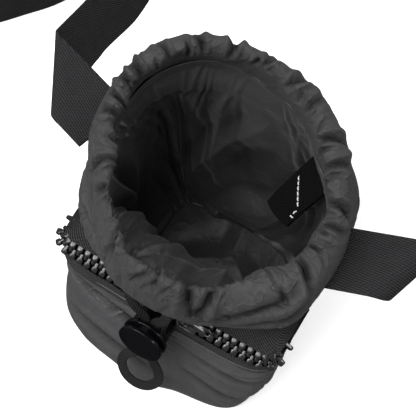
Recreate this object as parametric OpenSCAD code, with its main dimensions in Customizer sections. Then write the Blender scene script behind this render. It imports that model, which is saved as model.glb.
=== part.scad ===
// Drawstring pouch with a zipped front pocket, a push-button cord lock
// and a wide webbing shoulder strap. Millimetres, +Z up, front towards -Y.
// The origin is on the floor, under the middle of the pouch.

/* [Pouch body] */
// Half the width of the base, left to right
base_half_width = 60; // [55:1:63]
// Half the depth of the base, front to back
base_half_depth = 47; // [44:1:50]
// Half the width at the shoulder, under the casing
shoulder_half_width = 74; // [72:1:78]
// Half the width of the gathered mouth
mouth_half_width = 68; // [66:1:70]
// Height of the casing's seam, halfway between front and back
seam_height = 138; // [136:1:142]
// How much higher the casing's seam is at the back than halfway
seam_rise = 20; // [18:1:21]
// Height of the drawcord casing
casing_height = 26; // [24:1:28]
// Thickness of the puckered casing, outside to inside
casing_depth = 12; // [11:1:13]

/* [Cloth] */
// Thickness of the outer cloth with its seams
cloth = 1.0; // [0.8:0.1:1.2]
// Thickness of the lining
lining = 0.6; // [0.4:0.1:0.8]
// Thickness of the base panel
base_thick = 1.5; // [1.2:0.1:2]

/* [Zip] */
// Height of the zip's chain above the floor
zip_height = 90; // [89:1:91]
// Distance of the chain in front of the origin
zip_front = 63; // [62:0.5:64]
// Distance from one tooth to the next in the same row
tooth_pitch = 5.08; // [5.0:0.02:5.1]
// Length of the straight part of the chain
chain_length = 124; // [122:1:126]

/* [Cord lock] */
// Radius of the button's disc and of the flange
disc_r = 13.5; // [13:0.1:14]
// Radius of the barrel
barrel_r = 11.5; // [11:0.1:12]
// How far the button travels
button_travel = 3; // [2.5:0.1:3]
// Width of the flat drawcord
cord_width = 6; // [5.5:0.1:6]
// Thickness of the flat drawcord
cord_thick = 2.6; // [2.4:0.1:2.7]

/* [Strap] */
// Width of the webbing
strap_width = 36; // [34:1:38]
// Thickness of the webbing
strap_thick = 1.6; // [1.2:0.1:1.8]

/* [Hidden] */

// Colours
nylon = [0.27, 0.27, 0.28];
nylon_dark = [0.20, 0.20, 0.21];
webbing = [0.22, 0.22, 0.23];
gloss_black = [0.05, 0.05, 0.055];
coil_black = [0.10, 0.10, 0.10];
thread_white = [0.85, 0.85, 0.83];

// Rings of the body, from the base up. Each is
// [height, rise at the back, centre x, centre y, half width, half depth, squareness].
RINGS = [
    [base_thick, 0, 0, -3, base_half_width, base_half_depth, 5],
    [45, 0, 0, 1, base_half_width + 7, base_half_depth + 1.5, 4.4],
    [92, 0, 0, 5, base_half_width + 10, base_half_depth + 2, 3.8],
    [seam_height - 12, seam_rise - 8, 0, -4, shoulder_half_width, base_half_depth + 14, 2.8],
    [seam_height, seam_rise, 0, -8, shoulder_half_width - 2, base_half_depth + 19, 2.4],
    [seam_height + casing_height - 0.5, seam_rise, 2, -7, mouth_half_width, 61, 2.2]];
SEAM = 4;
TOP = 5;

// Rings of the pocket's wall: [height, half width at the back edge, front y, squareness].
pocket_back_y = -22;
pocket_flare = 4;
POCKET = [
    [base_thick, 61.3, -83, 5],
    [14, 63.5, -86, 5],
    [35, 66.9, -83, 5],
    [58, 69.3, -76, 5.5],
    [78, 70.6, -69.5, 6],
    [86.2, 70.8, -67.6, 6]];
POCKET_TOP = 4;

// Signed power, the building block of a superellipse
function spow(v, p) = sign(v) * pow(abs(v), p);
function mix(a, b, f) = a + (b - a) * f;
// One row of a table of rings, at a fractional level
function row(table, k) =
    let (i = max(0, min(len(table) - 2, floor(k))))
    [for (j = [0:len(table[0]) - 1]) mix(table[i][j], table[i + 1][j], k - i)];
// A point of the body at angle t and level k, a distance inside the outer surface
function body_at(t, k, inset) =
    let (r = row(RINGS, k))
    [r[2] + (r[4] - inset) * spow(cos(t), 2 / r[6]),
     r[3] + (r[5] - inset) * spow(sin(t), 2 / r[6]),
     r[0] + r[1] * sin(t)];
// A point of the pocket's wall, in the same way
function pocket_at(t, k, inset) =
    let (r = row(POCKET, k))
    [(r[1] + pocket_flare * abs(sin(t)) - inset) * spow(cos(t), 2 / r[3]),
     pocket_back_y + (-r[2] + pocket_back_y - inset) * spow(sin(t), 2 / r[3]),
     r[0]];
// Two triangles for a quad
function quad(a, b, c, d) = [[a, b, c], [a, c, d]];
function flat(lists) = [for (l = lists) for (v = l) v];

// A closed solid between two grids of points of the same size:
// outer and inner each hold rows of points, one row for each step along the piece.
module slab(outer, inner) {
    n = len(outer);
    m = len(outer[0]);
    shift = n * m;
    faces = flat([
        flat([for (i = [0:n - 2]) for (j = [0:m - 2])
            quad(i * m + j, i * m + j + 1, (i + 1) * m + j + 1, (i + 1) * m + j)]),
        flat([for (i = [0:n - 2]) for (j = [0:m - 2])
            quad(shift + (i + 1) * m + j, shift + (i + 1) * m + j + 1,
                shift + i * m + j + 1, shift + i * m + j)]),
        flat([for (i = [0:n - 2])
            quad(i * m, (i + 1) * m, shift + (i + 1) * m, shift + i * m)]),
        flat([for (i = [0:n - 2])
            quad(i * m + m - 1, shift + i * m + m - 1, shift + (i + 1) * m + m - 1, (i + 1) * m + m - 1)]),
        flat([for (j = [0:m - 2])
            quad(j, shift + j, shift + j + 1, j + 1)]),
        flat([for (j = [0:m - 2]) let (a = (n - 1) * m)
            quad(a + j, a + j + 1, shift + a + j + 1, shift + a + j)])]);
    polyhedron(points = concat(flat(outer), flat(inner)), faces = faces);
}

FRONT = [180:7.5:360];
BACK = [0:7.5:180];

// A panel of the body. Each step of the path is [outer level, outer inset, inner level, inner inset].
module body_panel(angles, path) {
    slab([for (t = angles) [for (p = path) body_at(t, p[0], p[1])]],
         [for (t = angles) [for (p = path) body_at(t, p[2], p[3])]]);
}

SHELL_PATH = [for (k = [0, 0.5, 1, 1.5, 2, 2.33, 2.66, 3, 3.5, SEAM]) [k, 0, k, cloth]];
LINING_PATH = [for (p = [[0.014, 1.8], [0.5, 1.8], [1, 1.8], [2, 2.0], [2.5, 3.6], [3, 5.5], [3.5, 8.6]])
    [p[0], p[1], p[0], p[1] + lining]];
LINING_TOP = [[SEAM, casing_depth - cloth, SEAM, casing_depth]];
// The casing is an upside-down U: outer leg, rounded top, inner leg
CASING_PATH = [
    [SEAM, 0, SEAM, cloth],
    [4.5, -0.6, 4.5, 0.4],
    [4.84, 0.3, 4.82, 1.3],
    [4.97, 2.2, 4.93, 3.0],
    [5.03, 6, 4.99, 6],
    [4.97, 9.8, 4.93, 9.0],
    [4.84, 11.7, 4.82, 10.7],
    [4.5, 12.6, 4.5, 11.6],
    [SEAM, casing_depth, SEAM, casing_depth - cloth]];

module shell_front() { color(nylon) body_panel(FRONT, SHELL_PATH); }
module shell_back() { color(nylon) body_panel(BACK, SHELL_PATH); }
module lining_front() { color(nylon_dark) body_panel(FRONT, concat(LINING_PATH, LINING_TOP)); }
module lining_back() { color(nylon_dark) body_panel(BACK, concat(LINING_PATH, LINING_TOP)); }

// The cord comes out of two slits at the foot of the casing's front
slit_x = 12;
slit = [8, 6, 4.2];
module casing_front() {
    color(nylon) difference() {
        body_panel(FRONT, CASING_PATH);
        for (x = [-slit_x, slit_x])
            translate([x - slit[0] / 2, -76.5, 117.9]) cube(slit);
    }
}
module casing_back() { color(nylon) body_panel(BACK, CASING_PATH); }

// Outline of the body at one level, seen from above
module body_outline(k, inset) {
    polygon([for (t = [0:7.5:352.5]) let (p = body_at(t, k, inset)) [p[0], p[1]]]);
}
module pocket_outline(k, inset) {
    polygon([for (t = [180:5:360]) let (p = pocket_at(t, k, inset)) [p[0], p[1]]]);
}

module base_panel() {
    color(nylon) linear_extrude(base_thick) union() {
        body_outline(0, 0);
        pocket_outline(0, 0);
    }
}
module lining_base() {
    color(nylon_dark) translate([0, 0, base_thick]) linear_extrude(lining) body_outline(0, 1.4);
}

// The pocket's wall, cut at its two front corners into a front and two gussets
module pocket_panel(angles, levels) {
    slab([for (t = angles) [for (k = levels) pocket_at(t, k, 0)]],
         [for (t = angles) [for (k = levels) pocket_at(t, k, cloth)]]);
}
POCKET_LEVELS = [0, 0.5, 1, 1.5, 2, 2.5, 3, 3.5, POCKET_TOP];
module pocket_front() { color(nylon) pocket_panel([225:5:315], POCKET_LEVELS); }
module gusset_left() { color(nylon) pocket_panel([180:5:225], POCKET_LEVELS); }
module gusset_right() { color(nylon) pocket_panel([315:5:360], POCKET_LEVELS); }
module zip_tape_lower() { color(webbing) pocket_panel([180:5:360], [POCKET_TOP, 4.5, 5]); }

// The upper tape lies flat from the shell to the chain, and shows its corners
tape_thick = 0.8;
tape_z = zip_height + 1.9;
tape_front = zip_front - 4.1;
tape_clearance = 0.8;
module zip_tape_upper() {
    color(webbing) translate([0, 0, tape_z]) linear_extrude(tape_thick) difference() {
        polygon([[-70, pocket_back_y], [-70.5, -50], [-69, -56.5], [-64, -tape_front],
            [64, -tape_front], [69, -56.5], [70.5, -50], [70, pocket_back_y]]);
        body_outline(2, -tape_clearance);
    }
}

// The chain runs straight across the front and turns back round each corner
chain_tilt = 30;
corner_r = 9;
corner_arc = corner_r * PI / 2;
leg_length = 8;
half_chain = chain_length / 2 + corner_arc + leg_length;
// Puts its children at distance s along the chain: X along it, Y towards the back, Z out of it
module on_chain(s) {
    a = abs(s);
    straight = chain_length / 2;
    turn = a <= straight ? 0 : a >= straight + corner_arc ? 90 : (a - straight) / corner_r * 180 / PI;
    leg = max(0, a - straight - corner_arc);
    x = min(a, straight) + corner_r * sin(turn);
    y = corner_r * (1 - cos(turn)) + leg;
    translate([sign(s) * x, -zip_front + y, zip_height])
        rotate([0, 0, sign(s) * turn]) rotate([chain_tilt, 0, 0]) children();
}

tooth_width = 2.3;
tooth_thick = 2.6;
tooth_reach = 1.0;
tooth_back = 4.5;
meeting_x = 12;
post_gap = 2.6;
post_reach = 7.5;
// The rows stand apart where the two sliders meet
function row_spread(s) = post_gap * exp(-pow((s - meeting_x) / post_reach, 4));
module tooth(side) {
    translate([-tooth_width / 2, side > 0 ? -tooth_reach : -tooth_back, -tooth_thick / 2])
        cube([tooth_width, tooth_back + tooth_reach, tooth_thick]);
}
teeth_per_side = floor(half_chain / tooth_pitch) - 1;
module teeth_row(side) {
    for (i = [-teeth_per_side:teeth_per_side - (side > 0 ? 0 : 1)])
        let (s = (i + (side > 0 ? 0 : 0.5)) * tooth_pitch)
            on_chain(s) translate([0, side * row_spread(s), 0]) tooth(side);
}
module zip_teeth_upper() { color(coil_black) teeth_row(1); }
module zip_teeth_lower() { color(coil_black) teeth_row(-1); }

stop_size = [2.4, 8, 3];
module zip_stops() {
    color(coil_black) for (side = [-1, 1])
        on_chain(side * (half_chain - 1.4))
            translate([-stop_size[0] / 2, -stop_size[1] / 2, -stop_size[2] / 2]) cube(stop_size);
}

// A slider: two plates joined by a post at the nose, and two lugs for the pull's pin.
// Its nose points along +X, and it is drawn from its nose backwards.
slider_length = 13;
plate_gap = 1.6;
plate_thick = 1.2;
upper_half = 5.5;
lower_half = 4.0;
flange_drop = 0.2;
pin_r = 0.8;
pin_back = 6.5;
pin_height = 4.6;
lug_gap = 2.1;
lug_thick = 0.8;
module slider() {
    // upper plate with its two side flanges
    translate([-slider_length, -upper_half, plate_gap]) cube([slider_length, 2 * upper_half, plate_thick]);
    for (side = [-1, 1])
        translate([-slider_length, side * (upper_half - 0.3) - 0.3, plate_gap - flange_drop])
            cube([slider_length, 0.6, flange_drop]);
    // lower plate
    translate([-slider_length, -lower_half, -plate_gap - plate_thick])
        cube([slider_length, 2 * lower_half, plate_thick]);
    // post that parts the teeth
    translate([-3.2, -1.2, -plate_gap]) cube([2.4, 2.4, 2 * plate_gap]);
    // lugs and pin
    for (side = [-1, 1])
        translate([-pin_back - 1.4, side * (lug_gap + lug_thick / 2) - lug_thick / 2, plate_gap + plate_thick])
            cube([2.8, lug_thick, pin_height - plate_gap - plate_thick + 1]);
    translate([-pin_back, 0, pin_height]) rotate([90, 0, 0])
        cylinder(r = pin_r, h = 2 * lug_gap + 0.4, center = true, $fn = 32);
}
// A pull: a sleeve on the pin and a flat tongue with a hole near its tip
pull_length = 15;
pull_width = 5;
pull_thick = 1.2;
sleeve_r = 1.7;
tip_hole = 2.4;
neck = 2.6;
module pull() {
    translate([-pin_back, 0, pin_height]) difference() {
        union() {
            rotate([90, 0, 0]) cylinder(r = sleeve_r, h = 2 * lug_gap - 0.4, center = true, $fn = 32);
            translate([-pull_length + pull_width / 2, -pull_width / 2, -pull_thick / 2])
                cube([pull_length - pull_width / 2 - neck, pull_width, pull_thick]);
            translate([-neck - 1, -lug_gap + 0.2, -pull_thick / 2])
                cube([neck, 2 * lug_gap - 0.4, pull_thick]);
            translate([-pull_length + pull_width / 2, 0, -pull_thick / 2])
                cylinder(d = pull_width, h = pull_thick, $fn = 48);
        }
        rotate([90, 0, 0]) cylinder(r = pin_r + 0.1, h = 20, center = true, $fn = 32);
        translate([-pull_length + pull_width / 2, 0, -2]) cylinder(d = tip_hole, h = 4, $fn = 32);
    }
}
slider_gap = 0.2;
// The left slider's nose points right, and the right slider's points left
module left_of_meeting() { on_chain(meeting_x) translate([-slider_gap, 0, 0]) children(); }
module right_of_meeting() { on_chain(meeting_x) translate([slider_gap, 0, 0]) mirror([1, 0, 0]) children(); }
module slider_left() { color(gloss_black) left_of_meeting() slider(); }
module slider_right() { color(gloss_black) right_of_meeting() slider(); }
module pull_left() { color(gloss_black) left_of_meeting() pull(); }
module pull_right() { color(gloss_black) right_of_meeting() pull(); }

// Cord lock. Its own Z runs from the disc's face back into the barrel.
lock_at = [2, -89.5, 90];
lock_tilt = 14;
disc_thick = 2.4;
flange_at = disc_thick + button_travel;
flange_thick = 2;
barrel_end = 18.8;
bore_r = 9.5;
bore_end = 17.4;
stem_r = 9.4;
stem_end = 14;
slot_at = 8.5;
slot_height = 3;
slot_width = 13.4;
spring_from = 11.6;
spring_r = 4;
spring_wire = 0.8;
module in_lock() { translate(lock_at) rotate([-90 - lock_tilt, 0, 0]) children(); }
module lock_body() {
    color(gloss_black) in_lock() difference() {
        union() {
            translate([0, 0, flange_at]) cylinder(r = disc_r, h = flange_thick, $fn = 96);
            translate([0, 0, flange_at]) cylinder(r = barrel_r, h = barrel_end - flange_at, $fn = 96);
        }
        translate([0, 0, flange_at - 1]) cylinder(r = bore_r, h = bore_end - flange_at + 1, $fn = 96);
        // the cord's way through, top to bottom
        translate([-slot_width / 2, -2 * disc_r, slot_at])
            cube([slot_width, 4 * disc_r, slot_height + button_travel]);
    }
}
module lock_button() {
    color(gloss_black) in_lock() difference() {
        union() {
            cylinder(r = disc_r, h = disc_thick, $fn = 96);
            translate([0, 0, disc_thick]) cylinder(r = stem_r, h = stem_end - disc_thick, $fn = 96);
        }
        translate([-slot_width / 2, -2 * disc_r, slot_at - button_travel])
            cube([slot_width, 4 * disc_r, slot_height + button_travel]);
        translate([0, 0, spring_from]) cylinder(r = spring_r + 0.5, h = stem_end, $fn = 48);
    }
}
// The spring as the sleeve it fills, between the button's pocket and the barrel's end
module lock_spring() {
    color("silver") in_lock() translate([0, 0, spring_from]) difference() {
        cylinder(r = spring_r, h = bore_end - spring_from, $fn = 48);
        translate([0, 0, -1]) cylinder(r = spring_r - spring_wire, h = bore_end, $fn = 48);
    }
}

// The flat drawcord, swept along hand-set points as an eight-sided tube
cord_face = [0, -0.75, 0.66];
function unit(v) = v / norm(v);
function heading(pts, i) =
    unit(i == 0 ? pts[1] - pts[0] : i == len(pts) - 1 ? pts[i] - pts[i - 1] : pts[i + 1] - pts[i - 1]);
// Catmull-Rom curve through the points, with a few steps between each two
function curve(p, steps) = concat(
    [for (i = [0:len(p) - 2]) for (j = [0:steps - 1])
        let (a = p[max(0, i - 1)], b = p[i], c = p[i + 1], d = p[min(len(p) - 1, i + 2)], u = j / steps)
        0.5 * ((2 * b) + (c - a) * u + (2 * a - 5 * b + 4 * c - d) * u * u
            + (3 * b - a - 3 * c + d) * u * u * u)],
    [p[len(p) - 1]]);
module flat_tube(pts, face, width, thick) {
    sides = 8;
    n = len(pts);
    rings = [for (i = [0:n - 1])
        let (h = heading(pts, i), w = unit(cross(h, face)), f = cross(w, h))
        for (j = [0:sides - 1]) let (a = 22.5 + 360 * j / sides)
            pts[i] + w * cos(a) * width / 2 / cos(22.5) + f * sin(a) * thick / 2 / cos(22.5)];
    walls = flat([for (i = [0:n - 2]) for (j = [0:sides - 1]) let (k = (j + 1) % sides)
        quad(i * sides + j, i * sides + k, (i + 1) * sides + k, (i + 1) * sides + j)]);
    first = [for (j = [1:sides - 2]) [0, j + 1, j]];
    last = [for (j = [1:sides - 2]) let (a = (n - 1) * sides) [a, a + j, a + j + 1]];
    polyhedron(points = rings, faces = concat(walls, first, last));
}
// The two legs of the free cord run side by side through the lock, and on into the hanging loop
cord_x = 3.1;
cord_depth = slot_at + slot_height / 2;
function in_barrel(down) = lock_at + [cord_x, 0, 0]
    + cord_depth * [0, cos(lock_tilt), -sin(lock_tilt)] + down * [0, -sin(lock_tilt), -cos(lock_tilt)];
LEG = [in_barrel(-12), in_barrel(-6), in_barrel(0), in_barrel(8), in_barrel(16), in_barrel(24),
    [8.2, -87.6, 57.5], [13, -90.3, 51], [14.2, -94, 45.5], [9.6, -98.4, 40.6]];
LOOP_BOTTOM = [[lock_at[0], -100, 39]];
TOP_RIGHT = [[slit_x, -73.4, 120.2], [11.4, -75.2, 115.5], [9.4, -76.2, 109], [6.6, -76.4, 103.6]];
TOP_LEFT = [[-slit_x, -73.4, 120.2], [-10.9, -75.3, 115.5], [-7.2, -76.3, 109], [-3.2, -76.4, 103.6]];
function mirrored(p) = [2 * lock_at[0] - p[0], p[1], p[2]];
last_leg = len(LEG) - 1;
CORD = concat(TOP_LEFT, [for (p = LEG) mirrored(p)], LOOP_BOTTOM,
    [for (i = [last_leg:-1:0]) LEG[i]], [for (i = [3:-1:0]) TOP_RIGHT[i]]);
module drawcord() { color(coil_black) flat_tube(curve(CORD, 3), cord_face, cord_width, cord_thick); }

// The rest of the cord runs round the mouth inside the casing
ring_inset = 6;
ring_level = 4.4;
IN_CASING = concat(
    [TOP_RIGHT[0], [slit_x + 0.2, -70.6, 121.1]],
    [for (t = [-75:10:255]) body_at(t, ring_level, ring_inset)],
    [[-slit_x - 0.2, -70.6, 121.1], TOP_LEFT[0]]);
module drawcord_in_casing() {
    color(coil_black) flat_tube(IN_CASING, [0, 0, 1], cord_thick, cord_thick);
}

// The strap leaves each side flat, and folds down over a slanted line.
// A fold is [root, along, across, fold line, length to the fold, radius, angle].
FOLD_LEFT = [[-73, -6, 140], [-0.95, 0.27, 0.06], [0, 1, 0], [-0.52, 0.85, 0], 30, 7, 110];
FOLD_RIGHT = [[73.5, -6, 138], [0.93, 0.3, 0.12], [0, 1, 0], [0.3, 0.95, 0], 30, 8, 108];
strap_root_x = 74;
fold_end = 100;
fold_along = function (f) unit(f[1]);
fold_across = function (f) let (d = fold_along(f)) unit(f[2] - d * (f[2] * d));
fold_normal = function (f) let (n = cross(fold_along(f), fold_across(f))) n * sign(n[2]);
fold_axis = function (f) let (n = fold_normal(f)) unit(f[3] - n * (f[3] * n));
fold_out = function (f) let (d = fold_along(f), a = fold_axis(f)) unit(d - a * (d * a));
// Direction after the fold of a direction that lay flat before it
function turned(f, v) =
    let (a = fold_axis(f), e = fold_out(f), n = fold_normal(f))
    a * (v * a) + (e * cos(f[6]) - n * sin(f[6])) * (v * e);
// Place of the flat strap's point, t along and q across, lifted h off its middle
function folded(f, t, q, h) =
    let (d = fold_along(f), a = fold_axis(f), e = fold_out(f), n = fold_normal(f),
        rel = d * t + fold_across(f) * q, start = f[4] * (d * e), over = rel * e - start,
        angle = max(0, min(f[6], over / f[5] * 180 / PI)),
        rest = max(0, over - f[5] * f[6] * PI / 180))
    f[0] + a * (rel * a) + e * (min(rel * e, start) + f[5] * sin(angle) + rest * cos(angle))
        - n * (f[5] * (1 - cos(angle)) + rest * sin(angle)) + (n * cos(angle) + e * sin(angle)) * h;
// Where each line along the strap starts, so that the root is flush with the pouch's side
function root_t(f, q) =
    (strap_root_x - abs(f[0][0]) - sign(f[0][0]) * fold_across(f)[0] * q) / abs(fold_along(f)[0]);
module folded_end(f) {
    half = strap_width / 2;
    lines = [for (j = [-3:3]) j * half / 3];
    side = [for (h = [1, -1]) [for (i = [0:25]) [for (q = lines)
        let (t = mix(root_t(f, q), fold_end, i / 25)) folded(f, t, q, h * sign(f[0][0]) * strap_thick / 2)]]];
    slab(side[0], side[1]);
}

// The rest lies round the pouch, standing on its edge. A station is [centre, direction of its width].
upright = [0, 0, 1];
floor_z = strap_width / 2 + 0.2;
STRAP_LOOP = concat(
    [[folded(FOLD_LEFT, fold_end, 0, 0), turned(FOLD_LEFT, fold_across(FOLD_LEFT))],
     [[-131, 72, 80], [-0.58, 0.35, 0.74]],
     [[-137, 98, 60], [-0.5, 0.2, 0.85]],
     [[-142, 122, 43], [-0.35, 0.1, 0.95]],
     [[-147, 144, 30], [-0.15, 0, 1]],
     [[-154, 163, 21], upright]],
    [for (p = [[-166, 175], [-180, 169], [-188, 150], [-194, 128], [-204, 107], [-217, 90], [-231, 73],
        [-248, 58], [-266, 53], [-280, 64], [-283, 85], [-272, 112], [-252, 142], [-228, 170],
        [-196, 192], [-150, 208], [-100, 224], [-50, 242], [-4, 258], [28, 254], [50, 230], [68, 200]])
        [[p[0], p[1], floor_z], upright]],
    [[[84, 168, 20], upright],
     [[97, 136, 28], [0, 0.1, 1]],
     [[107, 104, 42], [0.1, 0.25, 0.95]],
     [[112, 76, 62], [0.2, 0.5, 0.8]],
     [folded(FOLD_RIGHT, fold_end, 0, 0), turned(FOLD_RIGHT, fold_across(FOLD_RIGHT))]]);
loop_steps = 3;
LOOP_CENTRES = curve([for (s = STRAP_LOOP) s[0]], loop_steps);
LOOP_WIDTHS = curve([for (s = STRAP_LOOP) s[1]], loop_steps);
// The stretch of the loop between two stations
module ribbon(from, to) {
    half = strap_width / 2;
    side = [for (h = [-1, 1]) [for (i = [from * loop_steps:to * loop_steps])
        let (d = heading(LOOP_CENTRES, i), up = unit(cross(d, LOOP_WIDTHS[i])), across = cross(up, d))
        [for (j = [-1, 1]) LOOP_CENTRES[i] + across * j * half + up * h * strap_thick / 2]]];
    slab(side[0], side[1]);
}
turn_end = 13;
run_end = 23;
module strap_left() { color(webbing) folded_end(FOLD_LEFT); }
module strap_turn() { color(webbing) ribbon(0, turn_end); }
module strap_run() { color(webbing) ribbon(turn_end, run_end); }
module strap_return() { color(webbing) ribbon(run_end, len(STRAP_LOOP) - 1); }
module strap_right() { color(webbing) folded_end(FOLD_RIGHT); }

// A short doubled webbing tab sewn inside, with a white bar of stitches across it
tab = [32, 26, 3];
tab_root = [44.5, 29.5, 140.4];
tab_roll = 25;
tab_droop = 19.5;
tab_turn = 68;
stitch_line = 16;
module in_tab() { translate(tab_root) rotate([-tab_roll, -tab_droop, tab_turn]) children(); }
module inner_tab() { color(gloss_black) in_tab() translate([-tab[0], -tab[1] / 2, 0]) cube(tab); }
module tab_stitches() {
    color(thread_white) in_tab() for (i = [-3:3])
        translate([-stitch_line, i * 3 - 1, tab[2]]) cube([0.8, 2.2, 0.3]);
}

base_panel();
shell_front();
shell_back();
casing_front();
casing_back();
lining_front();
lining_back();
lining_base();
pocket_front();
gusset_left();
gusset_right();
zip_tape_upper();
zip_tape_lower();
zip_teeth_upper();
zip_teeth_lower();
zip_stops();
slider_left();
slider_right();
pull_left();
pull_right();
drawcord();
drawcord_in_casing();
lock_body();
lock_button();
lock_spring();
inner_tab();
tab_stitches();
strap_left();
strap_turn();
strap_run();
strap_return();
strap_right();
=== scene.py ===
# %% [markdown]
# # A drawstring pouch on a webbing strap
# The pouch is soft cloth, so almost every piece here is a surface worked out with numpy:
# a function of two parameters on a grid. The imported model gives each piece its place, and
# all lengths in this lesson are in millimetres until a mesh is made.

import bpy
import numpy as np
from mathutils import Matrix


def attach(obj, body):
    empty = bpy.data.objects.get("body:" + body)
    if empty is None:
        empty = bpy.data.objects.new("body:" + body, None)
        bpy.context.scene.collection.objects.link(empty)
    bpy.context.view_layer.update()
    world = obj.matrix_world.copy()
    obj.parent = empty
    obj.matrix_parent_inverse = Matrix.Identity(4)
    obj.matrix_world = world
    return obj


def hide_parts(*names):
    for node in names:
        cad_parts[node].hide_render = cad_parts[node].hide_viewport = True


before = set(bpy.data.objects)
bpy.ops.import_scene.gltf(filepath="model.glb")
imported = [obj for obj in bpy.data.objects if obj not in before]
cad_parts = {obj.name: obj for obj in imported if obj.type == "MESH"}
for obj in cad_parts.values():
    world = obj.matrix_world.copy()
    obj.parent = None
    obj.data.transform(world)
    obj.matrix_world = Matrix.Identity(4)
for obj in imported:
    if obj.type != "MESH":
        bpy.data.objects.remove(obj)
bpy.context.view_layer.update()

# %% [markdown]
# ## Camera
# The pouch is seen from high above its front right corner, which shows the mouth, the lining
# and the zipped pocket at once. A long lens keeps the shapes calm. The camera is aimed by
# working out its three axes, which are the columns of its rotation.

# %% Camera
azimuth, elevation = np.radians(31.5), np.radians(68)
aim = np.array([0, -0.014, 0.128])
camera_distance = 0.575
lens_mm, sensor_mm = 92.6, 36.0


def placed(x_axis, y_axis, z_axis, origin):
    """The matrix of an object with these three axes and this origin."""
    return Matrix([[*row, place] for row, place in zip(np.stack([x_axis, y_axis, z_axis], 1), origin)]
                  + [[0, 0, 0, 1]])


backwards = np.array([
    np.sin(azimuth) * np.cos(elevation), -np.cos(azimuth) * np.cos(elevation), np.sin(elevation)])
rightwards = np.array([np.cos(azimuth), np.sin(azimuth), 0])
upwards = np.cross(backwards, rightwards)
camera = bpy.data.objects.new("camera", bpy.data.cameras.new("camera"))
bpy.context.scene.collection.objects.link(camera)
camera.data.lens, camera.data.sensor_width = lens_mm, sensor_mm
camera.matrix_world = placed(rightwards, upwards, backwards, aim + backwards * camera_distance)
bpy.context.scene.camera = camera
print("camera at", camera.matrix_world.translation[:])

# %% [markdown]
# ## From a grid of points to a mesh
# A grid holds one point for each pair of steps. Each square of four neighbours becomes a face,
# and a closed direction joins its last step to its first. The UV map holds millimetres of
# cloth, measured along both directions, so that a weave has its real size everywhere.

# %% Grid helpers
MM = 0.001


def arc_lengths(points, axis):
    """Distance in mm along one direction of a grid, added up and averaged over the other direction."""
    steps = np.linalg.norm(np.diff(points, axis=axis), axis=-1).mean(axis=1 - axis)
    return np.concatenate([[0], np.cumsum(steps)])


def new_piece(name, points, faces):
    """A mesh object from points in mm and faces."""
    mesh = bpy.data.meshes.new(name)
    mesh.from_pydata((points * MM).tolist(), [], faces)
    piece = bpy.data.objects.new(name, mesh)
    bpy.context.scene.collection.objects.link(piece)
    return piece


def join_pieces(name, parts):
    """Makes several objects one, under a new name."""
    with bpy.context.temp_override(active_object=parts[0], selected_editable_objects=parts,
                                   selected_objects=parts):
        bpy.ops.object.join()
    parts[0].name = name
    return parts[0]


def grid_piece(name, points, closed=(False, False), caps=False, flip=False):
    """A mesh object from an (n, m, 3) grid in mm. Face = points (i, j), (i+1, j), (i+1, j+1), (i, j+1)."""
    n, m = points.shape[:2]
    index = np.arange(n * m).reshape(n, m)
    if closed[0]:
        index = np.concatenate([index, index[:1]])
    if closed[1]:
        index = np.concatenate([index, index[:, :1]], 1)
    flat = points.reshape(-1, 3)
    laid = flat[index]
    u, v = np.meshgrid(arc_lengths(laid, 0), arc_lengths(laid, 1), indexing="ij")
    corner = [(slice(None, -1), slice(None, -1)), (slice(1, None), slice(None, -1)),
              (slice(1, None), slice(1, None)), (slice(None, -1), slice(1, None))]
    if flip:
        corner = corner[::-1]
    quads = np.stack([index[c] for c in corner], -1).reshape(-1, 4)
    uv = np.stack([np.stack([u[c], v[c]], -1) for c in corner], 2).reshape(-1, 2)
    faces = quads.tolist()
    if caps:
        ends = [index[0, :m].tolist(), index[-1, :m].tolist()[::-1]]
        faces += [end[::-1] for end in ends] if flip else ends
        uv = np.concatenate([uv, np.zeros((2 * m, 2))])
    piece = new_piece(name, flat, faces)
    piece.data.uv_layers.new(name="cloth").data.foreach_set("uv", uv.astype(np.float32).ravel())
    piece.data.shade_smooth()
    print(f"{name}: {len(faces)} faces")
    return piece


def laid_out(grid, round_mm, up_mm):
    """Millimetres round and up a grid at each of its points, from one number for each column and each row."""
    return np.broadcast_to(round_mm[:, None], grid.shape[:2]), np.broadcast_to(up_mm[None, :],
        grid.shape[:2])


def surface_normals(points, closed=(False, False)):
    """Unit normals of a grid: the cross product of the steps along its two directions."""
    def steps(axis):
        if closed[axis]:
            return np.roll(points, -1, axis) - np.roll(points, 1, axis)
        return np.gradient(points, axis=axis)
    normal = np.cross(steps(0), steps(1))
    return normal / np.maximum(np.linalg.norm(normal, axis=-1, keepdims=True), 1e-9)


def thicken(piece, thickness, offset=-1.0):
    """Gives a cloth surface its thickness in mm, on its inner side where offset is -1."""
    solidify = piece.modifiers.new("thickness", "SOLIDIFY")
    solidify.thickness, solidify.offset = thickness * MM, offset


def mark_painted_shade(piece, depths, full):
    """Stores how deep each point lies in a crease, from 0 to 1, as painted shade: the finish darkens the
    colour there.
    """
    values = np.clip(-depths / full, 0, 1)
    layer = piece.data.attributes.new("painted_shade", "FLOAT", "POINT")
    layer.data.foreach_set("value", values.ravel().astype(np.float32))


def finish_piece(piece, material, body, slot, *nodes):
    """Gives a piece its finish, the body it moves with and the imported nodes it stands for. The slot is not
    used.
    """
    piece.data.materials.append(material)
    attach(piece, body)
    if nodes:
        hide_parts(*nodes)
    return piece


def unit(v):
    """A vector, or each vector of an array, divided by its length."""
    v = np.asarray(v, float)
    return v / np.linalg.norm(v, axis=-1, keepdims=True)


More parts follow.
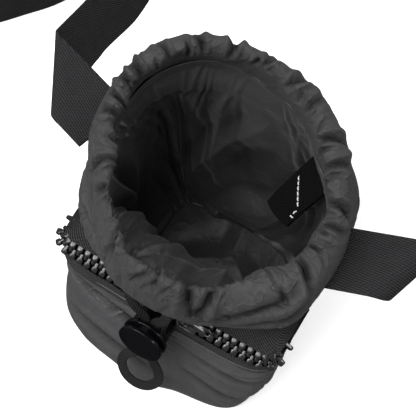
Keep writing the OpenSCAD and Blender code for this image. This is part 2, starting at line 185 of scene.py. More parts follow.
def spline(points, per_step, closed=False):
    """Catmull-Rom curve: cubics, whose slope at each point is half the step between its neighbours."""
    p = np.asarray(points, float)
    before, after = (p[-1:], p[:2]) if closed else (p[:1], p[-1:])
    q = np.concatenate([before, p, after])
    u = np.arange(per_step)[:, None] / per_step
    a, b, c, d = (q[i:len(q) - 3 + i, None] for i in range(4))
    curve = 0.5 * (2 * b + (c - a) * u + (2 * a - 5 * b + 4 * c - d) * u**2
                   + (3 * b - a - 3 * c + d) * u**3)
    curve = curve.reshape(-1, p.shape[1])
    return curve if closed else np.concatenate([curve, p[-1:]])


def evenly(curve, count):
    """The same curve with its points at equal distances."""
    run = np.concatenate([[0], np.cumsum(np.linalg.norm(np.diff(curve, axis=0), axis=1))])
    at = np.linspace(0, run[-1], count)
    return np.stack([np.interp(at, run, curve[:, i]) for i in range(curve.shape[1])], 1)


# %% [markdown]
# ## Finishes
# Every material is built from nodes. A small set of helpers keeps the graphs short: one adds
# a node, one does sums. Patterns that follow the cloth read the UV map, in millimetres, and
# patterns that are in the stuff itself read Object coordinates.

# %% Node helpers
def new_material(name, **sockets):
    """A material whose shader has these fixed values."""
    made = bpy.data.materials.new(name)
    made.use_nodes = True
    shader = made.node_tree.nodes["Principled BSDF"]
    for socket, value in sockets.items():
        shader.inputs[socket.replace("_", " ")].default_value = value
    return made, made.node_tree, shader


def add(tree, kind, settings=None, **inputs):
    """Adds a node. An input is a number, or an output to link."""
    made = tree.nodes.new(kind)
    for setting, value in (settings or {}).items():
        setattr(made, setting, value)
    for socket, value in inputs.items():
        target = made.inputs[int(socket[1:])] if socket[0] == "_" else made.inputs[socket.replace("_", " ")]
        if isinstance(value, bpy.types.NodeSocket):
            tree.links.new(value, target)
        else:
            target.default_value = value
    return made


def calc(tree, operation, *values):
    """The output of a Math node."""
    inputs = {f"_{i}": value for i, value in enumerate(values)}
    return add(tree, "ShaderNodeMath", {"operation": operation}, **inputs).outputs[0]


def cloth_uv(tree):
    """Millimetres along the cloth's two directions."""
    split = add(tree, "ShaderNodeSeparateXYZ", Vector=add(tree, "ShaderNodeTexCoord").outputs["UV"])
    return split.outputs[0], split.outputs[1]


def noise(tree, size, detail=3.0, roughness=0.55):
    """Noise from 0 to 1 with blotches of about this size in mm."""
    place = add(tree, "ShaderNodeTexCoord").outputs["Object"]
    return add(tree, "ShaderNodeTexNoise", Vector=place, Scale=1000.0 / size, Detail=detail,
               Roughness=roughness).outputs["Fac"]


def waves(tree, value, period):
    """A sine from -1 to 1 that repeats every so many mm."""
    return calc(tree, "SINE", calc(tree, "MULTIPLY", value, 2 * np.pi / period))


def blend_colours(tree, factor, dark, light):
    """Mixes two colours by a factor from 0 to 1."""
    mixed = add(tree, "ShaderNodeMix", {"data_type": "RGBA"}, _0=factor)
    mixed.inputs[6].default_value, mixed.inputs[7].default_value = (*dark, 1), (*light, 1)
    return mixed.outputs[2]


def bump(tree, shader, height, depth, strength=1.0):
    """Raises the surface by a height from 0 to 1 times a depth in mm."""
    made = add(tree, "ShaderNodeBump", Height=height, Distance=depth * MM, Strength=strength)
    tree.links.new(made.outputs[0], shader.inputs["Normal"])


# %% [markdown]
# ### Nylon
# The pouch is thin, dense nylon that has been washed: a tight plain weave with a fine crinkle
#  and sharp little ridges. The weave is two crossed sines and the crinkle is noise at two sizes.
#  The creases and folds get painted shade: each piece carries an attribute of how deep its creases lie, and
#      the colour is darkened there.

# %% Nylon and lining
def make_nylon(name, dark, light, roughness, thread, crinkle_depth, sheen):
    """Cloth from dark to light. Thread is the weave's period in mm."""
    made, tree, shader = new_material(
        name, Roughness=roughness, Sheen_Weight=sheen, Sheen_Roughness=0.45, Specular_IOR_Level=0.35)
    along, across = cloth_uv(tree)
    weave = calc(tree, "MULTIPLY", waves(tree, along, thread), waves(tree, across, thread))
    crinkle = noise(tree, 5.0, 5.0, 0.6)
    fine = noise(tree, 0.9, 2.0)
    blotch = calc(tree, "MULTIPLY_ADD", noise(tree, 28.0, 2.0), 0.55,
                  calc(tree, "MULTIPLY_ADD", crinkle, 0.35, calc(tree, "MULTIPLY", fine, 0.25)))
    # painted shade: the colour goes darker, down to a quarter of the dark colour, where the piece's attribute
    # says it lies deep in a crease or fold
    painted_shade = add(tree, "ShaderNodeAttribute", {"attribute_name": "painted_shade"}).outputs["Fac"]
    shade = calc(tree, "SUBTRACT", calc(tree, "ADD", blotch, 0.43), calc(tree, "MULTIPLY", painted_shade, 0.9))
    deep = tuple(0.25 * c for c in dark)
    colour = blend_colours(tree, calc(tree, "MAXIMUM", shade, 0.0), deep, light)
    tree.links.new(colour, shader.inputs["Base Color"])
    # thin ridges where a noise passes 0.5: they wander over the cloth like the creases of a crumpled sheet
    for size, share in ((10.0, 0.4), (22.0, 0.8)):
        away = calc(tree, "ABSOLUTE", calc(tree, "MULTIPLY_ADD", noise(tree, size, 2.0, 0.4), 2.0, -1.0))
        ridge = calc(tree, "POWER", calc(tree, "SUBTRACT", 1.0, away), 14.0)
        crinkle = calc(tree, "MULTIPLY_ADD", ridge, share, crinkle)
    height = calc(tree, "MULTIPLY_ADD", weave, 0.05, calc(tree, "MULTIPLY_ADD", fine, 0.16, crinkle))
    bump(tree, shader, height, crinkle_depth)
    return made


nylon = make_nylon("nylon_cloth", (0.007, 0.007, 0.0074), (0.026, 0.026, 0.0272), 0.55, 0.55, 1.1, 0.03)
smooth_nylon = make_nylon("smooth_nylon_cloth", (0.011, 0.011, 0.0115), (0.044, 0.044, 0.046),
                          0.30, 0.55, 0.34, 0.03)
lining_cloth = make_nylon("lining_cloth", (0.014, 0.014, 0.0145), (0.034, 0.034, 0.035),
                          0.42, 0.5, 0.25, 0.08)

# %% [markdown]
# ### Webbing
# The strap is woven with raised diagonal ribs. Each rib is broken into short floats where the
# crossing threads pass over it. The pattern is a slanted sine, cut up by a second one, and it
# reads the strap's own millimetres, so it bends with the strap at the folds.

# %% Webbing, tape, cord and thread
def make_webbing(name, dark, light, rib, slant, float_length, depth, roughness=0.62, mirror=0.15):
    """Ribbed weave: ribs this many mm apart, slanted by so much for each mm along, cut up into floats."""
    made, tree, shader = new_material(name, Roughness=roughness, Specular_IOR_Level=mirror)
    along, across = cloth_uv(tree)
    slanted = calc(tree, "MULTIPLY_ADD", along, slant, across)
    ribs = waves(tree, slanted, rib)
    row = calc(tree, "FLOOR", calc(tree, "DIVIDE", slanted, rib))
    shifted = calc(tree, "MULTIPLY_ADD", row, 0.5 * float_length, along)
    floats = waves(tree, shifted, float_length)
    height = calc(tree, "MULTIPLY_ADD", floats, 0.22, calc(tree, "MULTIPLY_ADD", ribs, 0.5, 0.5))
    # random tone and painted shade: the colour is lighter on the tops of the ribs and floats and darker down
    # between them
    tone_and_rib_shade = calc(tree, "MULTIPLY_ADD", noise(tree, 9.0, 4.0), 0.3, calc(tree, "MULTIPLY", height, 0.8))
    tree.links.new(blend_colours(tree, tone_and_rib_shade, dark, light), shader.inputs["Base Color"])
    bump(tree, shader, height, depth)
    return made


webbing = make_webbing("webbing_cloth", (0.0015, 0.0015, 0.0018), (0.028, 0.028, 0.030),
                       1.35, 0.22, 2.1, 0.5)
# painted shade: the tab is the strap's webbing, with its colour made about four times darker for the shadow
# that it lies in inside the mouth
tab_webbing_painted_shade = make_webbing("tab_webbing_painted_shade", (0.0005, 0.0005, 0.0006), (0.007, 0.007, 0.0074),
                           1.5, 0.1, 2.4, 0.5, 0.9, 0.03)
zip_tape = make_webbing("zip_tape_cloth", (0.003, 0.003, 0.0035), (0.050, 0.050, 0.052),
                        1.25, 0.75, 1.5, 0.5, 0.7)
braid = make_webbing("cord_braid", (0.0008, 0.0008, 0.001), (0.020, 0.020, 0.021), 1.9, 0.9, 1.3, 0.4)


def make_thread():
    made, tree, shader = new_material("white_thread", Roughness=0.7, Sheen_Weight=0.3)
    ply = waves(tree, cloth_uv(tree)[0], 0.7)
    # painted shade: the colour is darker in the grooves between the plies and lighter on their tops
    shade = calc(tree, "MULTIPLY_ADD", ply, 0.3, 0.6)
    tree.links.new(blend_colours(tree, shade, (0.35, 0.35, 0.34), (0.75, 0.75, 0.72)),
                   shader.inputs["Base Color"])
    bump(tree, shader, ply, 0.08)
    return made


white_thread = make_thread()

# %% [markdown]
# ### Moulded plastic and painted metal
# The cord lock and the zip's teeth are glossy black mouldings. A little waviness in the
# surface and patches of faint handling marks stop the gloss from looking like glass.

# %% Plastic and metal
def make_gloss(name, colour, roughness, marks, metallic=0.0, coat=0.0, mirror=1.5):
    made, tree, shader = new_material(
        name, Metallic=metallic, Coat_Weight=coat, Coat_Roughness=0.08, IOR=mirror)
    shade = calc(tree, "MULTIPLY_ADD", noise(tree, 6.0, 4.0), marks, roughness)
    tree.links.new(shade, shader.inputs["Roughness"])
    lighter = tuple(c * 1.8 for c in colour)
    tree.links.new(blend_colours(tree, noise(tree, 3.0), colour, lighter), shader.inputs["Base Color"])
    bump(tree, shader, noise(tree, 2.5, 2.0), 0.03)
    return made


lock_plastic = make_gloss("lock_plastic", (0.0015, 0.0015, 0.002), 0.10, 0.08, mirror=1.3)
tooth_plastic = make_gloss("tooth_plastic", (0.003, 0.003, 0.0035), 0.20, 0.15, coat=0.12)
zip_paint = make_gloss("zip_paint", (0.005, 0.005, 0.0055), 0.16, 0.15, metallic=0.3, coat=0.6)
spring_wire = make_gloss("spring_wire", (0.45, 0.45, 0.45), 0.25, 0.1, metallic=1.0)
print("materials:", len(bpy.data.materials))

# %% [markdown]
# ## The pouch's own surface
# The body is a stack of rings. Each ring is a superellipse, which is an ellipse that can be
# made squarer: x = a |cos t|^(2/n), y = b |sin t|^(2/n). The base is nearly a rectangle, and
# the mouth is nearly an ellipse. Between the rings, every number follows a smooth curve.

# %% Body and pocket surfaces
# [height, rise at the back, centre x, centre y, half width, half depth, squareness]
RINGS = np.array([
    [1.5, 0, 0, -3, 60, 47, 5], [45, 0, 0, 1, 67, 48.5, 4.4], [92, 0, 0, 5, 70, 49, 3.8],
    [126, 12, 0, -4, 74, 61, 2.8], [138, 20, 0, -8, 72, 66, 2.4], [163.5, 20, 2, -7, 68, 61, 2.2]])
# [height, half width, front y, squareness]
POCKET_RINGS = np.array([
    [1.5, 61.3, -83, 5], [14, 63.5, -86, 5], [35, 66.9, -83, 5],
    [58, 69.3, -76, 5.5], [78, 70.6, -69.5, 6], [86.2, 70.8, -67.6, 6]])
pocket_back, pocket_flare = -22, 4


# [angle in degrees, outer face moved out, inner face moved out, both raised]: the gathered mouth isn't
# quite regular
MOUTH = np.array([
    [0, 3, 1, 0], [15, 0, 1, 0], [30, -2, -2, 0], [45, -2, -5, 0], [60, -2, -3, 0],
    [75, 0, 0, 1], [90, 1, 3, 2], [105, 3, 7, 3], [120, 5, 8, 4], [135, 6, 8, 4],
    [150, 8, 8, 4], [165, 7, 7, 3], [180, 4, 5, 1], [195, -2, -2, 0], [210, -6, -1, 0],
    [225, -7, 0, 0], [240, -4, 3, 0], [255, 0, 8, 0], [270, 0, 8, 0], [285, 0, 3, 0],
    [300, -2, 0, 0], [315, 1, -4, 0], [330, 6, -5, 0], [345, 4, -1, 0]])
mouth_fine = spline(MOUTH[:, 1:], 15, closed=True)


def rings_at(table, level):
    """A ring's numbers at a fractional level, half along straight lines and half along a smooth curve."""
    whole = np.arange(len(table))
    fine = spline(table, 32)
    at = np.linspace(0, len(table) - 1, len(fine))
    straight = [np.interp(level, whole, column) for column in table.T]
    smooth = [np.interp(level, at, column) for column in fine.T]
    return [0.5 * (a + b) for a, b in zip(straight, smooth)]


def signed_power(value, power):
    return np.sign(value) * np.abs(value) ** power


def body_surface(angle, level, inset):
    """Superellipse ring at a level, a distance inside the cloth, tipped up towards the back by its rise."""
    z, rise, cx, cy, a, b, n = rings_at(RINGS, np.minimum(level, 5))
    above = np.maximum(level - 5, 0) * 25
    east, north = signed_power(np.cos(angle), 2 / n), signed_power(np.sin(angle), 2 / n)
    degrees, whole = np.degrees(angle) % 360, np.arange(361)
    outer, inner, raised = (np.interp(degrees, whole, np.append(column, column[0]))
                            for column in mouth_fine.T)
    fade = np.clip((level - 3.3) / 0.7, 0, 1)
    fade = fade * fade * (3 - 2 * fade)
    share = np.clip(inset / 12, 0, 1)
    wider = fade * (outer * (1 - share) + inner * share) / np.hypot(east, north)
    return np.stack([cx + (a - inset + wider) * east, cy + (b - inset + wider) * north,
                     z + rise * np.sin(angle) + above + fade * raised], -1)


def pocket_surface(angle, level, inset):
    """Front half of a superellipse ring, open towards the back, a little wider where it meets the body."""
    z, a, front, n = rings_at(POCKET_RINGS, level)
    half_width = a + pocket_flare * np.abs(np.sin(angle)) - inset
    half_depth = pocket_back - front - inset
    return np.stack([half_width * signed_power(np.cos(angle), 2 / n),
                     pocket_back + half_depth * signed_power(np.sin(angle), 2 / n), z + 0 * angle], -1)


def even_angles(surface, level, start, end, count):
    """Angles that put the points of one ring at equal distances."""
    fine = np.radians(np.linspace(start, end, 4000))
    ring = surface(fine, np.full_like(fine, level), 0)
    run = np.concatenate([[0], np.cumsum(np.linalg.norm(np.diff(ring, axis=0), axis=1))])
    return np.interp(np.linspace(0, run[-1], count), run, fine)


# %% [markdown]
# ## Creases and folds
# Cloth that is gathered on a cord puffs up between short, sharp creases. Each crease here is a
# line between two places on the cloth. The cloth sinks along the line, rises a little on both
# sides of it, and the crease fades out at its ends. Broad, slow folds come from smooth noise.

# %% Creases and noise
def crease_depths(u, v, creases, wrap=None):
    """Sum over lines [u0, v0, u1, v1, width, depth], in mm of cloth. The height at a distance x is
    -depth (exp(-|x|/width) - 0.45 exp(-((|x| - 2.2 width)/width)^2)), less towards the line's ends."""
    total = np.zeros_like(u)
    for u0, v0, u1, v1, width, depth in creases:
        du, dv = u - u0, v - v0
        if wrap:
            du = (du + wrap / 2) % wrap - wrap / 2
        line = np.array([u1 - u0, v1 - v0])
        length = max(np.linalg.norm(line), 1e-6)
        line = line / length
        along = (du * line[0] + dv * line[1]) / length
        x = np.abs(du * line[1] - dv * line[0])
        fade = np.clip(1 - np.abs(2 * along - 1) ** 3, 0, 1) * ((along > 0) & (along < 1))
        open_up = width * (0.7 + 0.6 * np.clip(along, 0, 1))
        total -= depth * fade * (np.exp(-x / open_up)
                                 - 0.45 * np.exp(-((x - 2.2 * open_up) / open_up) ** 2))
    return total


def scattered(rng, count, run, v_from, sideways, v_to, widths, depths):
    """Random lines for crease_depths, starting anywhere round the cloth. Each pair is a range."""
    start = rng.uniform(0, run, count)
    return np.stack([start, rng.uniform(*v_from, count),
                     start + rng.uniform(-sideways, sideways, count), rng.uniform(*v_to, count),
                     rng.uniform(*widths, count), rng.uniform(*depths, count)], 1)


def smooth_noise(u, v, size, seed, wrap=None):
    """Noise from -1 to 1: random numbers on a lattice of squares this many mm wide, joined smoothly."""
    rng = np.random.default_rng(seed)
    columns = max(2, int(round(wrap / size[0]))) if wrap else 97
    lattice = rng.uniform(-1, 1, (columns, 97))
    x = u / (wrap / columns if wrap else size[0])
    y = v / size[1] + 40
    i, j = np.floor(x).astype(int), np.floor(y).astype(int)
    fx, fy = x - i, y - j
    fx, fy = fx * fx * (3 - 2 * fx), fy * fy * (3 - 2 * fy)
    pick = lambda a, b: lattice[(i + a) % columns, (j + b) % 97]
    low = pick(0, 0) * (1 - fx) + pick(1, 0) * fx
    high = pick(0, 1) * (1 - fx) + pick(1, 1) * fx
    return low * (1 - fy) + high * fy


def push(points, heights, closed=(False, False), outward=1.0):
    """Moves each point along its surface normal."""
    return points + outward * heights[..., None] * surface_normals(points, closed)


# %% [markdown]
# ## The gathered casing
# The casing is a tunnel of cloth round the mouth, and the drawcord runs inside it. Its cross
# section is an upside-down U, about 12 mm thick and 26 mm high. The cord bunches it, so its
# inner lip is scalloped and creased. The section is drawn as [level, inset] pairs and swept
# round the mouth, and the creases are laid on afterwards.

# %% Casing
SECTION = [[4.0, 0.2], [4.12, -0.6], [4.3, -1.2], [4.5, -1.1], [4.68, -0.6], [4.83, 0.5], [4.94, 2.1],
           [5.02, 4.2],
           [5.04, 6.4], [5.0, 8.8], [4.9, 10.9], [4.74, 12.3], [4.5, 12.9], [4.25, 12.6], [4.05, 12.0],
           [4.02, 10.0], [4.06, 6.0], [4.02, 2.0]]
casing_columns, casing_rows = 1200, 72
level_height = 26  # mm from one ring to the next, near the mouth
around = even_angles(body_surface, 4.6, 0, 360, casing_columns + 1)[:-1]
section_mm = np.array(SECTION) * [level_height, 1]
section_mm = evenly(np.concatenate([spline(section_mm, 16, closed=True), section_mm[:1]]),
                    casing_rows + 1)[:-1]
casing_grid = body_surface(around[:, None], section_mm[None, :, 0] / level_height, section_mm[None, :, 1])

mouth_run = 408.0
section_run = np.concatenate([[0], np.cumsum(np.linalg.norm(np.diff(section_mm, axis=0), axis=1))])
u, v = laid_out(casing_grid, np.arange(casing_columns) * mouth_run / casing_columns, section_run)
lip_outer, lip_top, lip_inner = 20.0, 29.0, 36.0  # mm up the section
rng = np.random.default_rng(7)


def random_creases(count, v_from, v_to, lean, widths, depths, spread):
    """Creases spaced unevenly round the mouth, each from one height of the cloth to another."""
    start = (np.arange(count) + rng.uniform(-0.45, 0.45, count)) * mouth_run / count
    return np.stack([start, v_from + rng.uniform(-spread, spread, count),
                     start + rng.uniform(-lean, lean, count), v_to + rng.uniform(-spread, spread, count),
                     rng.uniform(*widths, count), rng.uniform(*depths, count)], 1)


# the deepest creases: [round the mouth, up the cloth, round, up, width, depth]
DEEP = [[206, 40, 209, 14, 1.7, 4.4], [199, 39, 196, 17, 1.4, 3.6], [189, 40, 185, 15, 1.7, 4.4],
        [178, 42, 181, 12, 1.9, 4.8],
        [160, 40, 163, 20, 1.4, 3.4], [140, 41, 145, 18, 1.7, 4.2], [125, 42, 124, 14, 1.8, 4.8],
        [107, 40, 104, 20, 1.4, 3.2],
        [89, 41, 84, 14, 1.8, 4.2], [70, 40, 73, 18, 1.4, 3.4], [53, 40, 49, 12, 1.9, 4.6],
        [36, 41, 39, 16, 1.6, 3.8],
        [18, 40, 14, 14, 1.7, 4.2], [3, 41, 6, 18, 1.4, 3.4], [388, 40, 382, 16, 1.6, 3.8],
        [320, 37, 326, 8, 2.3, 5.0],
        [336, 36, 327, 7, 2.1, 4.4], [330, 5, 374, 25, 2.8, 2.8], [338, 2, 384, 14, 2.6, 2.2],
        [345, 14, 392, 30, 2.0, 1.8],
        [232, 40, 236, 12, 1.6, 3.6], [250, 38, 246, 14, 1.5, 3.2], [270, 36, 278, 10, 1.7, 3.4],
        [300, 34, 292, 14, 1.5, 2.6]]
casing_creases = np.concatenate([
    np.array(DEEP, float),
    random_creases(20, lip_inner + 8, lip_top, 8, (0.7, 1.8), (0.8, 3.0), 4),
    random_creases(26, lip_inner + 2, lip_outer - 2, 11, (0.6, 1.4), (0.7, 2.0), 4),
    random_creases(24, 2, 17, 14, (0.7, 1.5), (0.5, 1.5), 4),
    random_creases(34, 20, 31, 16, (0.5, 1.0), (0.3, 1.0), 5)])
inner = np.exp(-((v - 38) / 11) ** 2)
heights = crease_depths(u, v, casing_creases, mouth_run)
heights += 2.2 * inner * smooth_noise(u, v, (14, 15), 3, mouth_run)
heights += (1.6 * smooth_noise(u, v, (26, 16), 4, mouth_run)
            + 0.35 * smooth_noise(u, v, (6, 5), 5, mouth_run))
casing_points = push(casing_grid, heights, (True, True))

# %% [markdown]
# The creases are only where the gathers begin. A cloth simulation then finishes them: the
# casing is told that it was cut a fifth longer round the mouth than the space that it has,
# its two sewn edges are held still, and a little air pressure keeps the tunnel round. The
# spare cloth has to buckle, as it does when the cord is pulled.

# %% Cloth simulation of the gathers
def simulate(name, start, cut, closed, sewn, frames, bending, tension, pressure):
    """Moves a cloth grid for some frames towards the shape it was cut to, and returns its points.
    Sewn is 1 where the cloth is held."""
    piece = grid_piece(name, start, closed=closed)
    piece.shape_key_add(name="Basis")
    key = piece.shape_key_add(name="cut")
    key.data.foreach_set("co", (cut * MM).astype(np.float32).ravel())
    key.value = 0
    piece.vertex_groups.new(name="sewn").add(np.flatnonzero(sewn.ravel() > 0.5).tolist(), 1.0, "REPLACE")
    cloth = piece.modifiers.new("cloth", "CLOTH")
    settings = cloth.settings
    settings.quality, settings.mass, settings.air_damping = 5, 0.1, 2.0
    settings.tension_stiffness = settings.compression_stiffness = tension
    settings.shear_stiffness, settings.bending_stiffness = 0.4 * tension, bending
    settings.tension_damping = settings.compression_damping = settings.shear_damping = 5.0
    settings.vertex_group_mass, settings.pin_stiffness, settings.rest_shape_key = "sewn", 1.0, key
    settings.use_pressure, settings.uniform_pressure_force = True, pressure
    settings.effector_weights.gravity = 0.0
    cloth.collision_settings.use_collision = False
    cloth.point_cache.frame_start, cloth.point_cache.frame_end = 1, frames
    for step in range(1, frames + 1):
        bpy.context.scene.frame_set(step)
    settled = piece.evaluated_get(bpy.context.evaluated_depsgraph_get())
    places = np.zeros(len(settled.data.vertices) * 3, np.float32)
    settled.data.vertices.foreach_get("co", places)
    bpy.data.objects.remove(piece)
    bpy.context.scene.frame_set(1)
    return places.reshape(start.shape).astype(float) / MM


begun, across_cloth, laid_flat = casing_points[::2, ::2], v[::2, ::2], casing_grid[::2, ::2]
spare_cloth, farthest = 0.20, 3.5  # share of the length, and mm
gather = 1 + spare_cloth * np.exp(-((across_cloth - 32) / 13) ** 4)
middle = laid_flat.mean((0, 1))
cut = np.stack([middle[0] + (laid_flat[..., 0] - middle[0]) * gather,
                middle[1] + (laid_flat[..., 1] - middle[1]) * gather, laid_flat[..., 2]], -1)
sewn = (across_cloth < 3) | (across_cloth > 46)
settled = simulate("casing_cloth", begun, cut, (True, True), sewn,
                   frames=22, bending=0.05, tension=15, pressure=1.0)
moved = np.linalg.norm(settled - begun, axis=-1, keepdims=True)
casing_points = begun + (settled - begun) * np.minimum(1, farthest / np.maximum(moved, 1e-6))
print("gathers moved", round(float(moved.mean()), 2), "mm on average")
casing = grid_piece("casing", casing_points, closed=(True, True))
sunk = crease_depths(u, v, casing_creases, mouth_run)
# painted shade in the casing's creases, from their depths
mark_painted_shade(casing, sunk[::2, ::2], 2.6)
finer = casing.modifiers.new("finer", "SUBSURF")
finer.levels = finer.render_levels = 1
finish_piece(casing, nylon, "bag", "nylon", "casing_front", "casing_back")

# %% [markdown]
# ## The shell
# Below the casing the shell is one tube of nylon with a seam down each side. It is made from
# the same rings as the casing, so the two meet, and it carries slow dents and a few creases
# that run down from the gathers.

# %% Shell and base
shell_columns, shell_rows = 640, 110
shell_around = even_angles(body_surface, 3, 0, 360, shell_columns + 1)[:-1]
shell_level = np.linspace(0.0, 4.12, shell_rows)
shell_grid = body_surface(shell_around[:, None], shell_level[None, :], 0.0)
shell_run = 430.0
su, sv = laid_out(shell_grid, np.arange(shell_columns) * shell_run / shell_columns,
                  shell_grid[:, :, 2].mean(0))
down = scattered(np.random.default_rng(11), 34, shell_run, (130, 146), 14, (70, 125),
                 (1.0, 2.6), (0.4, 1.6))
shell_heights = crease_depths(su, sv, down, shell_run)
free = np.clip((sv - 4) / 25, 0, 1) * np.clip((150 - sv) / 20, 0.2, 1)
shell_heights += free * (1.8 * smooth_noise(su, sv, (48, 40), 12, shell_run)
                         + 0.7 * smooth_noise(su, sv, (20, 14), 13, shell_run))
seam = np.abs((su + shell_run / 4) % (shell_run / 2) - shell_run / 4)
shell_heights -= 0.8 * np.exp(-(seam / 1.1) ** 2)
shell_points = push(shell_grid, shell_heights - 0.6, (True, False))
shell = grid_piece("shell", shell_points, closed=(True, False))
# painted shade in the creases that run down the shell
mark_painted_shade(shell, crease_depths(su, sv, down, shell_run), 2.0)
thicken(shell, 0.8)
finish_piece(shell, nylon, "bag", "nylon", "shell_front", "shell_back")


def flat_base(name, rim, z_low, z_high):
    """A flat panel: rings of one outline shrunk towards its middle, with a rounded edge."""
    outline = rim - [0, 0, rim[0, 2]]
    middle = outline.mean(0)
    edge = np.linspace(0.985, 1.0, 4)
    shrink = np.concatenate([[0.004], edge, edge[::-1], [0.004]])
    height = z_low + (z_high - z_low) * np.array([0, 0, 0.15, 0.35, 0.5, 0.5, 0.65, 0.85, 1, 1])
    points = middle + (outline[:, None] - middle) * shrink[None, :, None] * [1, 1, 0]
    points[..., 2] = height[None, :]
    return grid_piece(name, points, closed=(True, False))


angle_back = np.radians(np.linspace(0, 180, 90))
angle_front = np.radians(np.linspace(180, 360, 140))
base_outline = np.concatenate([
    body_surface(angle_back, 0.0, 0.0), pocket_surface(angle_front, np.zeros(140), 0.0)])
base = flat_base("base_panel_cloth", base_outline, 0.05, 1.55)
finish_piece(base, nylon, "bag", "nylon", "base_panel")

# %% [markdown]
# ## The lining
# The lining is a thin dark bag that hangs inside the shell. It is cut a little larger than
# the shell, so it falls into broad folds and lies loosely over the base. It starts at the
# casing's inner seam and closes in a small disc in the middle of the base.

# %% Lining
lining_columns, wall_rows, floor_rows = 480, 120, 46
lining_around = even_angles(body_surface, 3, 0, 360, lining_columns + 1)[:-1]
wall_level = np.linspace(4.16, 0.05, wall_rows)
wall_inset = np.interp(wall_level, [0, 0.15, 0.4, 0.8, 2, 2.5, 3, 3.5, 4, 4.2],
                       [18, 11, 6.5, 4, 3, 4.2, 6.2, 9.2, 11.6, 12.2])
wall = body_surface(lining_around[:, None], wall_level[None, :], wall_inset[None, :])
foot = wall[:, -1]
centre = foot.mean(0)
shrink = np.linspace(0.97, 0.003, floor_rows) ** 0.9
floor_part = centre + (foot[:, None] - centre) * shrink[None, :, None]
floor_part[..., 2] = 2.6
lining_grid = np.concatenate([wall, floor_part], 1)
lining_run = 400.0
lu, lv = laid_out(lining_grid, np.arange(lining_columns) * lining_run / lining_columns,
                  arc_lengths(lining_grid, 1))
rng = np.random.default_rng(23)
falls = scattered(rng, 22, lining_run, (0, 40), 45, (60, 150), (1.4, 3.0), (1.0, 2.6))
pleats = scattered(rng, 44, lining_run, (0, 6), 16, (25, 62), (0.8, 1.7), (0.6, 1.8))
# the big folds: [round the bag, down the cloth, round, down, width, depth]
BIG_FOLDS = [
    [100, 25, 150, 135, 6, 7], [128, 15, 118, 120, 5, 6], [60, 30, 105, 150, 6, 7],
    [170, 20, 148, 150, 5, 6],
    [222, 8, 262, 150, 6, 9], [205, 30, 226, 150, 5, 6], [250, 15, 300, 110, 5, 6],
    [330, 12, 296, 140, 6, 6],
    [30, 20, 62, 140, 5, 6], [385, 20, 360, 140, 6, 7], [85, 90, 130, 175, 5, 5], [190, 90, 160, 180, 5, 5]]
loose = np.clip(lv / 26, 0, 1) ** 0.8 * np.clip((185 - lv) / 30, 0, 1)
pleat_share = np.clip(lv / 4, 0, 1) / np.maximum(loose, 0.1)  # the pleats begin right at the seam
into_bag = loose * (9.0 * (0.5 + 0.5 * smooth_noise(lu, lv, (42, 62), 24, lining_run)) ** 1.4
                    + 3.0 * (0.5 + 0.5 * smooth_noise(lu + 0.4 * lv, lv, (17, 40), 25, lining_run))
                    + 1.3 * np.exp(-lv / 25) * smooth_noise(lu, lv, (8, 30), 27, lining_run)
                    - crease_depths(lu, lv, pleats, lining_run) * pleat_share
                    - crease_depths(lu, lv, falls, lining_run)
                    - crease_depths(lu + 4, lv, BIG_FOLDS, lining_run))
normal = surface_normals(lining_grid, (True, False))
outwards = np.sign(
    (normal[:, :wall_rows, :2] * (lining_grid[:, :wall_rows, :2] - centre[:2])).sum(-1).mean())
lining_points = lining_grid - outwards * np.maximum(into_bag, 0)[..., None] * normal
floor_radius = np.linalg.norm(lining_grid[..., :2] - centre[:2], axis=-1)
tucks = [[-40, -26, 8, 6, 6, 3], [4, 6, 44, -20, 7, 3], [6, 2, 0, 50, 6, 3]]
floor_rise = 9.0 * (0.5 + 0.5 * smooth_noise(
    lining_grid[..., 0] + 200, lining_grid[..., 1] + 200, (24, 30), 26))
floor_rise -= crease_depths(lining_grid[..., 0], lining_grid[..., 1], tucks)
heap = np.clip(1 - floor_radius / 62, 0, 1) ** 0.5
lining_points[:, wall_rows:, 2] = 2.6 + np.maximum(floor_rise + 3, 0)[:, wall_rows:] * heap[:, wall_rows:]
lining = grid_piece("lining", lining_points, closed=(True, False))
# painted shade in the lining's folds: darker where the cloth is pushed least far into the bag
mark_painted_shade(lining, -np.maximum(into_bag.max() * 0.35 - into_bag, 0) * loose, 9.0)
thicken(lining, 0.4, 1.0)
finish_piece(lining, lining_cloth, "bag", "lining", "lining_front", "lining_back", "lining_base")

# %% [markdown]
# ## The front pocket
# The pocket is a wall of nylon wrapped round the front, from side seam to side seam, closed
# by the zip along its top. It bellies out over its base. Its folds run mostly along the zip,
# because the cloth hangs from the tape and is a little too long for it.

# %% Pocket
pocket_columns, pocket_rows = 400, 112
pocket_around = even_angles(pocket_surface, 2, 180, 360, pocket_columns)
pocket_level = np.linspace(0.0, 4.16, pocket_rows)
pocket_grid = pocket_surface(pocket_around[:, None], pocket_level[None, :], 0.0)
pu, pv = laid_out(pocket_grid, arc_lengths(pocket_grid, 0), pocket_grid[:, :, 2].mean(0))
pocket_run = pu[-1, 0]
middle_u = pocket_run / 2
# [across from the middle, height, across, height, width, depth]
POCKET_FOLDS = np.array([
    [-74, 74, 6, 52, 3.2, 3.4], [-60, 40, 24, 26, 3.6, 2.4], [2, 66, 78, 60, 2.6, 3.0],
    [20, 44, 80, 28, 3.4, 2.8],
    [46, 68, 72, 70, 1.4, 1.6], [-30, 70, 20, 72, 1.6, 1.4], [-98, 66, -76, 26, 2.2, 2.0],
    [88, 70, 78, 22, 2.2, 2.2],
    [106, 60, 90, 18, 2.0, 2.0]])
folds = POCKET_FOLDS.copy()
folds[:, [0, 2]] += middle_u
held = np.clip((pv - 3) / 10, 0, 1) * np.clip((82 - pv) / 8, 0.15, 1)
pocket_heights = held * (crease_depths(pu, pv, folds) + 2.2 * smooth_noise(pu + 1.5 * pv, pv, (50, 34), 31)
                         + 0.6 * smooth_noise(pu, pv, (24, 9), 32))
